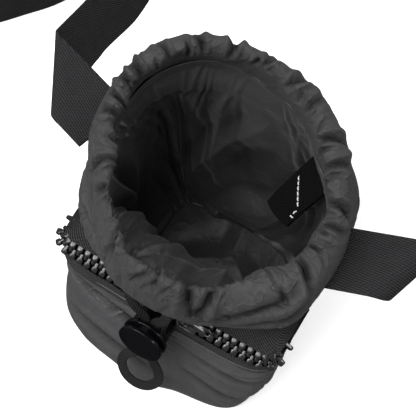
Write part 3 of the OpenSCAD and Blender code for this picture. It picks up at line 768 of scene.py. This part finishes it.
# the belly under the lock
pocket_heights += 5.5 * np.exp(-((pu - middle_u + 22) / 44) ** 2 - ((pv - 22) / 20) ** 2)
pocket_heights += 5.0 * np.exp(-((pu - middle_u) / 18) ** 2 - ((pv - 12) / 13) ** 2)
hem = np.exp(-((pv - 79.0) / 1.3) ** 2)
pocket_heights += 0.7 * hem
corner_seams = np.minimum(np.abs(pu - middle_u + 78), np.abs(pu - middle_u - 78))
pocket_heights += 0.9 * np.exp(-(corner_seams / 1.0) ** 2) - 0.7 * np.exp(-((corner_seams
    - 2.2) / 1.0) ** 2)
pocket_points = push(pocket_grid, pocket_heights, outward=1.0)
pocket = grid_piece("pocket", pocket_points)
# painted shade in the pocket's folds
mark_painted_shade(pocket, crease_depths(pu, pv, folds), 3.0)
thicken(pocket, 0.8)
finish_piece(pocket, smooth_nylon, "bag", "nylon", "pocket_front", "gusset_left", "gusset_right")

# %% [markdown]
# ## The zip's tapes
# Each half of the zip is a strip of coarse, thick tape. The lower tape stands on the pocket's
# top edge. The upper one lies flat between the shell and the chain, and its two ends show as
# triangles beside the casing.

# %% Zip tapes
lower_level = np.linspace(3.86, 5.0, 26)
lower_grid = pocket_surface(pocket_around[:, None], lower_level[None, :], -0.25)
tape_u, tape_v = laid_out(lower_grid, arc_lengths(lower_grid, 0), lower_grid[:, :, 2].mean(0))
lower_points = push(lower_grid, 0.35 * smooth_noise(tape_u, tape_v, (11, 6), 41)
                    + 0.5 * np.clip((tape_v - 84) / 2, 0, 1))
lower_tape = grid_piece("lower_tape", lower_points)
thicken(lower_tape, 0.9)
finish_piece(lower_tape, zip_tape, "bag", "tape", "zip_tape_lower")

UPPER_EDGE = np.array([[-70.5, -26], [-71, -40], [-70.5, -51], [-69, -56.5], [-64, -59.2], [-50, -59.6],
                       [-25, -59.4], [0, -59.4], [25, -59.4], [50, -59.6], [64, -59.2], [69, -56.5],
                       [70.5, -51], [71, -40], [70.5, -26]])
front_line = evenly(spline(UPPER_EDGE, 12), 260)
back_angle = np.interp(np.linspace(0, 1, 260), [0, 0.13, 0.87, 1], np.radians([196, 216, 324, 344]))
back_line = body_surface(back_angle, np.full(260, 2.0), 0.6)[:, :2]
share = np.linspace(0, 1, 30)[None, :, None]
flat_tape = front_line[:, None] * (1 - share) + back_line[:, None] * share
lift = 92.3 + 0.5 * smooth_noise(flat_tape[..., 0] + 200, flat_tape[..., 1] + 200, (18, 9), 42)
upper_points = np.concatenate([flat_tape, lift[..., None]], -1)
upper_tape = grid_piece("upper_tape", upper_points, flip=True)
thicken(upper_tape, 0.8)
finish_piece(upper_tape, zip_tape, "bag", "tape", "zip_tape_upper")

# %% [markdown]
# ## The zip's teeth
# Moulded teeth are pressed on to the edge of the tape one by one. Each has a block that grips
# the tape, a narrow neck, and a round head that locks behind its neighbours. One outline is
# stacked in four layers, smaller at the top and bottom, and copied along the chain.

# %% Teeth
chain_front, chain_height, chain_tilt = 63.0, 90.0, np.radians(30)
corner_r, chain_half_straight, leg_length = 9.0, 62.0, 8.0
corner_arc = corner_r * np.pi / 2
half_chain = chain_half_straight + corner_arc + leg_length
tooth_pitch, meeting_x = 5.08, 12.0


def chain_frames(s):
    """Origin and axes at distances s along the chain: X along it, Y to the back, Z out of it.
    The chain turns back round each corner of the pocket."""
    s = np.asarray(s, float)
    a = np.abs(s)
    turn = np.clip((a - chain_half_straight) / corner_r, 0, np.pi / 2)
    leg = np.maximum(a - chain_half_straight - corner_arc, 0)
    x = np.minimum(a, chain_half_straight) + corner_r * np.sin(turn)
    y = corner_r * (1 - np.cos(turn)) + leg
    origin = np.stack([np.sign(s) * x, -chain_front + y, np.full_like(s, chain_height)], -1)
    swing = np.sign(s) * turn
    along = np.stack([np.cos(swing), np.sin(swing), 0 * s], -1)
    level_back = np.stack([-np.sin(swing), np.cos(swing), 0 * s], -1)
    up = np.array([0, 0, 1.0])
    back = level_back * np.cos(chain_tilt) + up * np.sin(chain_tilt)
    out = -level_back * np.sin(chain_tilt) + up * np.cos(chain_tilt)
    return origin, along, back, out


def row_spread(s):
    """The two rows stand apart in front of the sliders' noses."""
    return 2.6 * np.exp(-((s - meeting_x) / 7.5) ** 4)


# half of a tooth's outline, as [along, away from the chain's middle]
HALF_TOOTH = np.array([[0, -1.15], [0.75, -1.05], [1.2, -0.55], [1.25, 0.0], [1.05, 0.5], [1.0, 0.9],
                       [1.65, 1.35], [1.9, 1.9], [1.9, 4.0], [1.5, 4.6], [0, 4.7]])
outline = np.concatenate([HALF_TOOTH, HALF_TOOTH[-2:0:-1] * [-1, 1]])
LAYERS = np.array([[-1.35, 0.72], [-1.1, 0.96], [0, 1.0], [1.1, 0.96], [1.42, 0.7]])


def teeth_row(name, side, node):
    """One tooth, as layers of its outline, placed at every step of the chain."""
    count = int(half_chain / tooth_pitch) - 1
    steps = np.arange(-count, count + (1 if side > 0 else 0)) + (0 if side > 0 else 0.5)
    s = steps * tooth_pitch
    centre = np.array([0, 1.9])
    flat = (outline[None] - centre) * LAYERS[:, 1, None, None] + centre
    layers, around_tooth = len(LAYERS), len(outline)
    local = np.concatenate([flat, np.broadcast_to(LAYERS[:, 0, None, None], (layers, around_tooth, 1))], -1)
    local = local.reshape(-1, 3) * [1, side, 1]
    origin, along, back, out = chain_frames(s)
    shift = side * row_spread(s)
    points = (origin[:, None] + local[None, :, :1] * along[:, None]
              + (local[None, :, 1:2] + shift[:, None, None]) * back[:, None]
              + local[None, :, 2:] * out[:, None])
    ring = np.arange(around_tooth)
    following = (ring + 1) % around_tooth
    faces = [[l * around_tooth + a, l * around_tooth + b, (l + 1) * around_tooth + b,
              (l + 1) * around_tooth + a]
             for l in range(layers - 1) for a, b in zip(ring, following)]
    faces += [ring[::-1].tolist(), (ring + (layers - 1) * around_tooth).tolist()]
    if side < 0:
        faces = [f[::-1] for f in faces]
    every = [[int(i) + k * layers * around_tooth for i in f] for k in range(len(s)) for f in faces]
    piece = new_piece(name, points.reshape(-1, 3), every)
    piece.data.shade_smooth()
    piece.data.set_sharp_from_angle(angle=np.radians(50))
    print(f"{name}: {len(s)} teeth")
    return finish_piece(piece, tooth_plastic, "bag", "teeth", node)


teeth_row("upper_teeth", 1, "zip_teeth_upper")
teeth_row("lower_teeth", -1, "zip_teeth_lower")

# %% [markdown]
# ## Stops, sliders and pulls
# These small castings have rounded edges, so each is a rounded block: a box whose corners are
# pulled in with the superellipse's formula, |x|^n + |y|^n = 1, from layer to layer.

# %% Rounded blocks on the chain
def rounded_block(low, high, squareness=5.0, steps=40, layers=14, taper=0.0):
    """Points of a box with round edges: superellipse rings whose size follows another superellipse upwards.
    Taper narrows it towards its +X end."""
    low, high = np.asarray(low, float), np.asarray(high, float)
    t = np.linspace(0, 2 * np.pi, steps, endpoint=False)[:, None]
    p = np.linspace(-np.pi / 2, np.pi / 2, layers)[None, :]
    size = np.maximum(signed_power(np.cos(p), 2 / squareness), 0.02)
    x = signed_power(np.cos(t), 2 / squareness) * size
    y = signed_power(np.sin(t), 2 / squareness) * size
    z = signed_power(np.sin(p), 2 / squareness) + 0 * t
    y = y * (1 - taper * (0.5 + 0.5 * x))
    return (low + high) / 2 + np.stack([x, y, z], -1) * (high - low) / 2


def place_on_chain(points, s, facing=1.0):
    """Moves points to distance s along the chain. Facing -1 turns the nose the other way."""
    origin, along, back, out = (a[0] for a in chain_frames([s]))
    return origin + points[..., :1] * facing * along + points[..., 1:2] * back + points[..., 2:] * out


def joined(name, grids, flip):
    """Several blocks or turned shapes in one object."""
    parts = [grid_piece(f"{name}_{i}", g, closed=(True, False), flip=flip) for i, g in enumerate(grids)]
    return join_pieces(name, parts)


stops = [place_on_chain(rounded_block([-1.3, -4.1, -1.6], [1.3, 4.1, 1.6]), side * (half_chain - 1.4))
         for side in (-1, 1)]
finish_piece(joined("end_stops", stops, False), tooth_plastic, "bag", "teeth", "zip_stops")

SLIDER_BLOCKS = [([-13, -5.5, 1.6], [0, 5.5, 2.9], 0.3), ([-13, -4.0, -2.9], [0, 4.0, -1.6], 0.3),
                 ([-13, 4.9, 0.9], [-2, 5.6, 2.6], 0.0), ([-13, -5.6, 0.9], [-2, -4.9, 2.6], 0.0),
                 ([-3.3, -1.2, -1.7], [-0.8, 1.2, 1.7], 0.0),
                 ([-8.1, 2.1, 2.7], [-5.0, 2.95, 5.9], 0.0), ([-8.1, -2.95, 2.7], [-5.0, -2.1, 5.9], 0.0)]


def turned(profile, steps=64):
    """Carries a [radius, height] profile round the local Z axis."""
    t = np.linspace(0, 2 * np.pi, steps, endpoint=False)[:, None]
    r, h = np.asarray(profile, float).T
    return np.stack([r * np.cos(t), r * np.sin(t), h + 0 * t], -1)


for name, facing, body, node in (("left", 1, "left_slider", "slider_left"),
                                 ("right", -1, "right_slider", "slider_right")):
    blocks = [place_on_chain(rounded_block(low, high, 6, taper=taper), meeting_x - 0.2 * facing, facing)
              for low, high, taper in SLIDER_BLOCKS]
    pin = turned([[0.01, -2.4], [0.8, -2.4], [0.8, 2.4], [0.01, 2.4]], 24)
    pin = pin[..., [0, 2, 1]] * [1, -1, 1] + [-6.5, 0, 4.6]
    blocks.append(place_on_chain(pin, meeting_x - 0.2 * facing, facing))
    finish_piece(joined(f"slider_{name}_casting", blocks, facing < 0), zip_paint, body, "zip_metal", node)

PULL_OUTLINE = np.array([[-2.6, 1.9], [-4.0, 2.0], [-5.4, 2.4], [-8, 2.5], [-11, 2.5], [-13.4, 2.2],
                         [-14.7, 1.3], [-15.0, 0]])
for name, facing, body, node in (("left", 1, "left_pull", "pull_left"),
                                 ("right", -1, "right_pull", "pull_right")):
    half = evenly(spline(PULL_OUTLINE, 8), 40)
    edge = np.concatenate([half, half[-2::-1] * [1, -1]])
    heading = np.arctan2(edge[:, 1], edge[:, 0] + 12.5)
    hole = np.stack([-12.5 + 1.2 * np.cos(heading), 1.2 * np.sin(heading)], 1)
    rows = [np.column_stack([hole * (1 - f) + edge * f, np.full(len(edge), z)])
            for f, z in ((0, -0.3), (0.06, -0.5), (0.94, -0.5), (1.0, -0.25),
                         (1.0, 0.25), (0.94, 0.5), (0.06, 0.5), (0, 0.3))]
    tongue = np.stack(rows, 1) + [-6.5, 0, 4.6]
    sleeve = turned(
        [[0.9, -1.9], [1.5, -1.9], [1.7, -1.7], [1.7, 1.7], [1.5, 1.9], [0.9, 1.9]], 40)[..., [0, 2, 1]]
    sleeve = sleeve * [1, -1, 1] + [-6.5, 0, 4.6]
    plate = grid_piece(f"pull_{name}_plate", place_on_chain(tongue, meeting_x - 0.2 * facing, facing),
                       closed=(True, True), flip=facing < 0)
    ring = grid_piece(f"pull_{name}_ring", place_on_chain(sleeve, meeting_x - 0.2 * facing, facing),
                      closed=(True, True), flip=facing < 0)
    finish_piece(join_pieces(f"pull_{name}_casting", [plate, ring]), zip_paint, body, "zip_metal", node)

# %% [markdown]
# ## The cord lock
# The lock is two mouldings. The barrel has a flange, and the button has a disc of the same
# size, so finger and thumb can squeeze them together. Both are turned shapes, so a profile is
# carried round an axis. The cord's slot is then cut through both with a boolean.

# %% Cord lock
lock_at, lock_tilt = np.array([2, -89.5, 90.0]), np.radians(14)
lock_side = np.array([1.0, 0, 0])
lock_back = np.array([0, np.cos(lock_tilt), -np.sin(lock_tilt)])
lock_down = np.array([0, -np.sin(lock_tilt), -np.cos(lock_tilt)])


def in_lock(points):
    """Local X to the right, Y down along the cord, Z from the disc's face back into the barrel."""
    return (lock_at + points[..., :1] * lock_side + points[..., 1:2] * lock_down
            + points[..., 2:] * lock_back)


def rounded_profile(corners, radius, steps=5):
    """A profile whose inner corners are replaced by quarter turns."""
    corners = np.asarray(corners, float)
    out = [corners[0]]
    for a, b, c in zip(corners, corners[1:], corners[2:]):
        r = min(radius, 0.45 * np.linalg.norm(b - a), 0.45 * np.linalg.norm(c - b))
        start, end = b + unit(a - b) * r, b + unit(c - b) * r
        t = np.linspace(0, 1, steps)[:, None]
        out.extend((1 - t) ** 2 * start + 2 * t * (1 - t) * b + t**2 * end)
    out.append(corners[-1])
    return np.array(out)


def cut_slot(piece, low, high):
    """Cuts a straight slot through a piece, in the lock's own directions."""
    corners = in_lock(np.array([[[x, y, z] for z in (low[2], high[2])] for x, y in
                                ((low[0], low[1]), (high[0], low[1]), (high[0], high[1]),
                                 (low[0], high[1]))], float))
    cutter = new_piece("cutter", corners.reshape(-1, 3), [
        [0, 2, 3, 1], [2, 4, 5, 3], [4, 6, 7, 5], [6, 0, 1, 7], [0, 6, 4, 2], [1, 3, 5, 7]])
    cut = piece.modifiers.new("slot", "BOOLEAN")
    cut.operation, cut.object, cut.solver = "DIFFERENCE", cutter, "EXACT"
    with bpy.context.temp_override(object=piece, active_object=piece):
        bpy.ops.object.modifier_apply(modifier=cut.name)
    bpy.data.objects.remove(cutter)
    piece.data.shade_smooth()
    piece.data.set_sharp_from_angle(angle=np.radians(40))


button_profile = rounded_profile([[0.02, 0.35], [11.9, 0.35], [12.3, 0.0], [13.5, 0.0], [13.5, 2.4],
                                  [9.4, 2.4], [9.4, 14.0], [4.5, 14.0], [4.5, 11.6], [0.02, 11.6]], 0.5)
button = grid_piece("lock_button_moulding", in_lock(turned(button_profile, 96)),
                    closed=(True, False), flip=True)
cut_slot(button, [-6.7, -20, 5.5], [6.7, 20, 11.5])
finish_piece(button, lock_plastic, "button", "lock_plastic", "lock_button")

barrel_profile = rounded_profile([[9.5, 17.4], [9.5, 5.4], [13.5, 5.4], [13.5, 7.4], [11.5, 7.4],
                                  [11.5, 9.2], [11.0, 9.6], [11.0, 10.4], [11.5, 10.8], [11.5, 18.8],
                                  [0.02, 18.8], [0.02, 17.4], [9.5, 17.4]], 0.45)
barrel = grid_piece("lock_barrel_moulding", in_lock(turned(barrel_profile, 96)),
                    closed=(True, False), flip=False)
cut_slot(barrel, [-6.7, -20, 8.5], [6.7, 20, 14.5])
finish_piece(barrel, lock_plastic, "lock", "lock_plastic", "lock_body")

turns = np.linspace(0, 2 * np.pi * 4.5, 220)
coil_line = np.stack([3.6 * np.cos(turns), 3.6 * np.sin(turns), 12.1 + 4.9 * turns / turns[-1]], 1)


def tube(line, radius, sides=10):
    """A round tube along a line: at each point a circle across the line's heading."""
    heading = unit(np.gradient(line, axis=0))
    side = unit(np.cross(heading, [0.0, 0.0, 1.0]) + 1e-9)
    other = np.cross(heading, side)
    t = np.linspace(0, 2 * np.pi, sides, endpoint=False)[None, :, None]
    return line[:, None] + radius * (np.cos(t) * side[:, None] + np.sin(t) * other[:, None])


spring = grid_piece("spring_coil", in_lock(tube(coil_line, 0.4)),
                    closed=(False, True), caps=True, flip=True)
finish_piece(spring, spring_wire, "lock", "spring_steel", "lock_spring")

# %% [markdown]
# ## The drawcord
# The cord is a flat braid, 6 mm wide. It leaves the casing by one slit, runs down through the
# lock, hangs in a short loop and comes back up through the lock to the other slit. A cross
# section with three soft ribs is carried along that route, turned so that its flat side faces
# the same way all along.

# %% Drawcord
cord_width, cord_thick, cord_x, cord_depth = 6.0, 2.6, 3.1, 10.0


def in_barrel(down):
    return in_lock(np.array([cord_x, down, cord_depth]))


LEG = [in_barrel(d) for d in (-12, -6, 0, 8, 16, 24)] + [
    np.array(p) for p in ([8.2, -87.6, 57.5], [13, -90.3, 51], [14.2, -94, 45.5], [9.6, -98.4, 40.6])]
LOOP_BOTTOM = [np.array([2, -100, 39.0])]
TOP_RIGHT = np.array([[12, -73.4, 120.2], [11.4, -75.2, 115.5], [9.4, -76.2, 109], [6.6, -76.4, 103.6]])
TOP_LEFT = np.array([[-12, -73.4, 120.2], [-10.9, -75.3, 115.5], [-7.2, -76.3, 109], [-3.2, -76.4, 103.6]])
left_leg = [np.array([2 * lock_at[0] - p[0], p[1], p[2]]) for p in LEG]
route = np.array([*TOP_LEFT, *left_leg, *LOOP_BOTTOM, *LEG[::-1], *TOP_RIGHT[::-1]])
cord_line = evenly(spline(route, 40), 520)
cord_face = np.array([0, -0.75, 0.66])


def braid_tube(line, face, width, thick, around_count=48):
    """A flat oval with three ribs on each side, swept along a line: x = width/2 |cos p|^0.85 and
    y = thick/2 |sin p|^0.6, each with its sign, and y is less between the ribs."""
    heading = unit(np.gradient(line, axis=0))
    side = unit(np.cross(heading, face))
    out = np.cross(side, heading)
    p = np.linspace(0, 2 * np.pi, around_count, endpoint=False)
    x = width / 2 * signed_power(np.cos(p), 0.85)
    ribs = 0.84 + 0.16 * np.abs(np.cos(1.5 * np.pi * x / (width / 2)))
    y = thick / 2 * signed_power(np.sin(p), 0.6) * ribs
    return line[:, None] + x[None, :, None] * side[:, None] + y[None, :, None] * out[:, None]


drawcord = grid_piece("drawcord_braid", braid_tube(cord_line, cord_face, cord_width, cord_thick),
                      closed=(False, True),
                      caps=True, flip=True)
finish_piece(drawcord, braid, "bag", "cord", "drawcord")

ring_angles = np.radians(np.arange(-75, 256, 5))
ring_line = np.concatenate([[TOP_RIGHT[0], [12.2, -70.6, 121.1]],
                            body_surface(ring_angles, np.full(len(ring_angles), 4.4), 5.0),
                            [[-12.2, -70.6, 121.1], TOP_LEFT[0]]])
hidden_cord = grid_piece("drawcord_round_mouth", braid_tube(ring_line, np.array([0, 0, 1.0]), 2.6, 2.6, 16),
                         closed=(False, True), caps=True, flip=True)
finish_piece(hidden_cord, braid, "bag", "cord", "drawcord_in_casing")

# %% [markdown]
# ## The tab inside the mouth
# A short doubled piece of webbing is sewn to the lining under the casing, and a bar of white
# stitches holds it. It droops a little, so its surface is a flat strip with a slow curl.

# %% Inner tab
tab_root = np.array([44.5, 29.5, 140.4])
tab_roll, tab_droop, tab_turn = np.radians([-25, -19.5, 68])
turn_x = np.array([[1, 0, 0], [0, np.cos(tab_roll), -np.sin(tab_roll)],
                   [0, np.sin(tab_roll), np.cos(tab_roll)]])
turn_y = np.array([[np.cos(tab_droop), 0, np.sin(tab_droop)], [0, 1, 0],
                   [-np.sin(tab_droop), 0, np.cos(tab_droop)]])
turn_z = np.array([[np.cos(tab_turn), -np.sin(tab_turn), 0],
                   [np.sin(tab_turn), np.cos(tab_turn), 0], [0, 0, 1]])
tab_axes = turn_z @ turn_y @ turn_x


def on_tab(x, y, z):
    """Local places on the tab: x outwards, y across, z off its face. Its tip curls down."""
    curl = 0.004 * np.minimum(x + 12, 0) ** 2 + 0.0045 * y**2 * np.clip(-x / 20, 0, 1)
    return tab_root + np.stack([x, y, z - curl], -1) @ tab_axes.T


def webbing_section(width, thick, count=30, edge=6):
    """Closed outline of a flat strap: straight faces and rounded selvedges, as [across, off the middle]."""
    half, r = width / 2, thick / 2
    top = np.stack([np.linspace(half - r, -half + r, count), np.full(count, r)], 1)
    t = np.linspace(np.pi / 2, 3 * np.pi / 2, edge + 2)[1:-1]
    left = np.stack([-half + r + r * np.cos(t), r * np.sin(t)], 1)
    return np.concatenate([top, left, -top, -left])


tab_section = webbing_section(25, 2.8)
tab_x = np.linspace(3.5, -31, 60)[:, None]
tab_grid = on_tab(tab_x + 0 * tab_section[None, :, 0]
                  - 2.0 * np.cos(tab_section[None, :, 0] / 9) * (tab_x < -20),
                  tab_section[None, :, 0] * (1 - 0.10 * np.clip(-tab_x / 31, 0, 1)),
                  tab_section[None, :, 1] + 1.5)
tab = grid_piece("inner_tab_webbing", tab_grid, closed=(False, True), caps=True, flip=False)
finish_piece(tab, tab_webbing_painted_shade, "bag", "webbing", "inner_tab")


def stitch_row(name, places, node, radius=0.42):
    """Stitches: each is a short tube from start to end that dives into the cloth at both."""
    grids = []
    for start, end, outward in places:
        t = np.linspace(0, 1, 7)[:, None]
        line = start * (1 - t) + end * t + outward * (0.55 * np.sin(np.pi * t) - 0.25)
        grids.append(tube(line, radius, 8))
    parts = [grid_piece(f"{name}_{i}", g, closed=(False, True), caps=True, flip=True)
             for i, g in enumerate(grids)]
    return finish_piece(join_pieces(name, parts), white_thread, "bag", "thread", node)


tab_up = tab_axes @ [0, 0, 1.0]
tab_points = lambda pairs: [(on_tab(np.array(a[0]), np.array(a[1]), np.array(2.9)),
                             on_tab(np.array(b[0]), np.array(b[1]), np.array(2.9)), tab_up)
                            for a, b in pairs]
slant = lambda y: (-15.0 + 0.7 * y, y)
bar = [(slant(y), slant(y + 1.9)) for y in np.arange(-7.5, 8, 2.6)]
bar += [((-22.5, -9.2), (-24.6, -9.0)), ((-26.5, -8.6), (-26.2, -10.6))]
stitch_row("tab_bar_tack", tab_points(bar), "tab_stitches")

# %% [markdown]
# ## The shoulder strap
# The strap is one length of stiff webbing. It leaves each side of the pouch flat, folds down
# over a slanted line, turns on to its edge and runs in a big loop on the floor. Webbing
# bends but hardly stretches, so each fold is an exact roll of a flat strip round a slanted
# axis, and the rest is a centreline with a direction of the width at each point.

# %% Strap route
strap_width, strap_thick, fold_end = 36.0, 1.6, 100.0
FOLD_LEFT = ([-73, -6, 140], [-0.95, 0.27, 0.06], [0, 1, 0], [-0.52, 0.85, 0], 30, 7, 110)
FOLD_RIGHT = ([73.5, -6, 138], [0.93, 0.3, 0.12], [0, 1, 0], [0.3, 0.95, 0], 30, 8, 108)


class Fold:
    """A flat strip rolled over a slanted line: it is flat up to the line, follows a cylinder through
    an angle, and is flat again after it. Distances on the strip stay the same."""

    def __init__(self, root, along, across, line, reach, radius, degrees):
        self.root, self.radius, self.angle = np.array(root, float), radius, np.radians(degrees)
        self.along = unit(along)
        self.across = unit(np.array(across) - self.along * (self.along @ across))
        normal = np.cross(self.along, self.across)
        self.normal = normal * np.sign(normal[2])
        self.axis = unit(np.array(line) - self.normal * (self.normal @ line))
        self.out = unit(self.along - self.axis * (self.along @ self.axis))
        self.start = reach * (self.along @ self.out)

    def place(self, t, q, lift):
        """Point t mm along and q mm across, lifted off the middle of the webbing."""
        t, q, lift = np.broadcast_arrays(t, q, lift)
        flat = t[..., None] * self.along + q[..., None] * self.across
        e = flat @ self.out
        turn = np.clip((e - self.start) / self.radius, 0, self.angle)
        rest = np.maximum(e - self.start - self.radius * self.angle, 0)
        sin, cos = np.sin(turn), np.cos(turn)
        return (self.root + (flat @ self.axis)[..., None] * self.axis
                + (np.minimum(e, self.start) + self.radius * sin + rest * cos)[..., None] * self.out
                - (self.radius * (1 - cos) + rest * sin)[..., None] * self.normal
                + lift[..., None] * (cos[..., None] * self.normal + sin[..., None] * self.out))

    def width_after(self):
        """Direction of the strap's width after the fold."""
        e = self.across @ self.out
        return (self.across @ self.axis) * self.axis + e * (
            np.cos(self.angle) * self.out - np.sin(self.angle) * self.normal)


fold_left, fold_right = Fold(*FOLD_LEFT), Fold(*FOLD_RIGHT)
floor_z, upright = strap_width / 2 + 0.2, [0, 0, 1]
ON_FLOOR = [[-166, 175], [-180, 169], [-188, 150], [-194, 128], [-204, 107], [-217, 90],
            [-231, 73], [-248, 58], [-266, 53], [-280, 64], [-283, 85], [-272, 112],
            [-252, 142], [-228, 170], [-196, 192], [-150, 208], [-100, 224], [-50, 242],
            [-4, 258], [28, 254], [50, 230], [68, 200]]


def end_station(fold, t):
    return [*fold.place(np.array(float(t)), np.array(0.0), np.array(0.0)), *fold.width_after()]


stations = np.array(
    [end_station(fold_left, t) for t in (80, 100, 118, 138)]
    + [[-143, 118, 46, -0.38, 0.15, 0.9],
       [-147, 144, 30, -0.15, 0, 1], [-154, 163, 21, *upright]]
    + [[x, y, floor_z, *upright] for x, y in ON_FLOOR]
    + [[84, 168, 20, *upright], [97, 136, 28, 0, 0.1, 1], [107, 104, 42, 0.1, 0.25, 0.95],
       [112, 76, 62, 0.2, 0.5, 0.8]]
    + [end_station(fold_right, 100), end_station(fold_right, 80)])
per_step = 24
loop = spline(stations, per_step)[per_step:-per_step]
loop_run = np.concatenate([[0], np.cumsum(np.linalg.norm(np.diff(loop[:, :3], axis=0), axis=1))])
loop_rows = int(loop_run[-1] / 2.0)
loop = np.stack([np.interp(np.linspace(0, loop_run[-1], loop_rows), loop_run, loop[:, i])
                 for i in range(6)], 1)
heading = unit(np.gradient(loop[:, :3], axis=0))
off = unit(np.cross(heading, loop[:, 3:]))
across = np.cross(off, heading)

strap_section = webbing_section(strap_width, strap_thick)
q, lift = strap_section[None, :, 0], strap_section[None, :, 1]
middle_part = loop[:, None, :3] + q[..., None] * across[:, None] - lift[..., None] * off[:, None]
end_t = np.linspace(-3.0, fold_end - 2.0, 60)[:, None]
left_part, right_part = fold_left.place(end_t, q, lift), fold_right.place(end_t, q, lift)
strap_grid = np.concatenate([left_part, middle_part, right_part[::-1]])
strap_run = arc_lengths(strap_grid, 0)
wave = smooth_noise(strap_run[:, None] + 0 * q, q + 40 + 0 * strap_run[:, None], (60, 24), 51)
middle_row = strap_grid[:, 20] - strap_grid[:, 10]
flat_rows = strap_grid[:, :1].repeat(3, 1) + np.arange(3)[None, :, None] * middle_row[:, None]
upwards = surface_normals(flat_rows, (False, False))[:, 1:2]
strap_grid = strap_grid + 0.35 * (wave * np.clip(strap_run / 40, 0, 1)[:, None])[..., None] * upwards
strap = grid_piece("shoulder_strap", strap_grid, closed=(False, True), caps=True, flip=True)
finish_piece(strap, webbing, "bag", "webbing", "strap_left", "strap_turn", "strap_run", "strap_return",
             "strap_right")

# %% [markdown]
# These pieces weren't made from flat cuts. Each is declared with a width, and with the length
# that gives it the finished piece's own area, so its measured share is near 1 by itself.


# %% [markdown]
# ## Studio
# The pouch stands on a plain white floor that glows a little, under a broad soft light from
# the front and above. Two small, strong lights put glints on the glossy parts, and a fourth
# fills in from behind. The room is bright all round but dark far below the horizon, where
# only mirror reflections look, so the cord lock stays black.

# %% Floor, light and world
floor_half = 4000.0
floor = new_piece("floor", floor_half * np.array([[-1, -1, 0], [1, -1, 0], [1, 1, 0], [-1, 1, 0]]),
                  [[0, 1, 2, 3]])
paper, tree, shader = new_material("studio_paper", Roughness=0.9, Emission_Color=(1, 1, 1, 1),
                                   Emission_Strength=0.3)
tree.links.new(blend_colours(tree, noise(tree, 300.0), (0.93, 0.93, 0.93), (0.95, 0.95, 0.95)),
               shader.inputs["Base Color"])
floor.data.materials.append(paper)
floor.visible_glossy = False  # the glossy parts mirror the room and not the bright floor


def area_light(name, place, target, size, power):
    """A square soft light turned towards a point."""
    light = bpy.data.objects.new(name, bpy.data.lights.new(name, "AREA"))
    light.data.size, light.data.energy = size, power
    bpy.context.scene.collection.objects.link(light)
    out = unit(np.array(place) - target)
    side = unit(np.cross([0.05, 1.0, 0.02], out))
    light.matrix_world = placed(side, np.cross(out, side), out, place)
    return light


area_light("overhead", (-0.45, -0.5, 1.35), np.array([0, 0, 0.1]), 1.1, 27)
area_light("back_fill", (0.3, 0.9, 1.1), np.array([0, 0, 0.1]), 0.8, 7)
area_light("front_left", (-0.9, -0.8, 0.9), np.array([0, 0, 0.08]), 0.3, 6)
area_light("right_rim", (1.0, 0.3, 0.7), np.array([0, 0, 0.08]), 0.3, 4)
world = bpy.data.worlds.new("studio")
bpy.context.scene.world = world
world.use_nodes = True
world.node_tree.nodes["Background"].inputs["Color"].default_value = (1, 1, 1, 1)
room = world.node_tree
split = add(room, "ShaderNodeSeparateXYZ", Vector=add(room, "ShaderNodeTexCoord").outputs["Generated"])
brightness = calc(room, "MULTIPLY_ADD", calc(room, "GREATER_THAN", split.outputs[2], -0.25), 0.38, 0.04)
room.links.new(brightness, room.nodes["Background"].inputs["Strength"])
bpy.context.scene.view_settings.view_transform = "Standard"
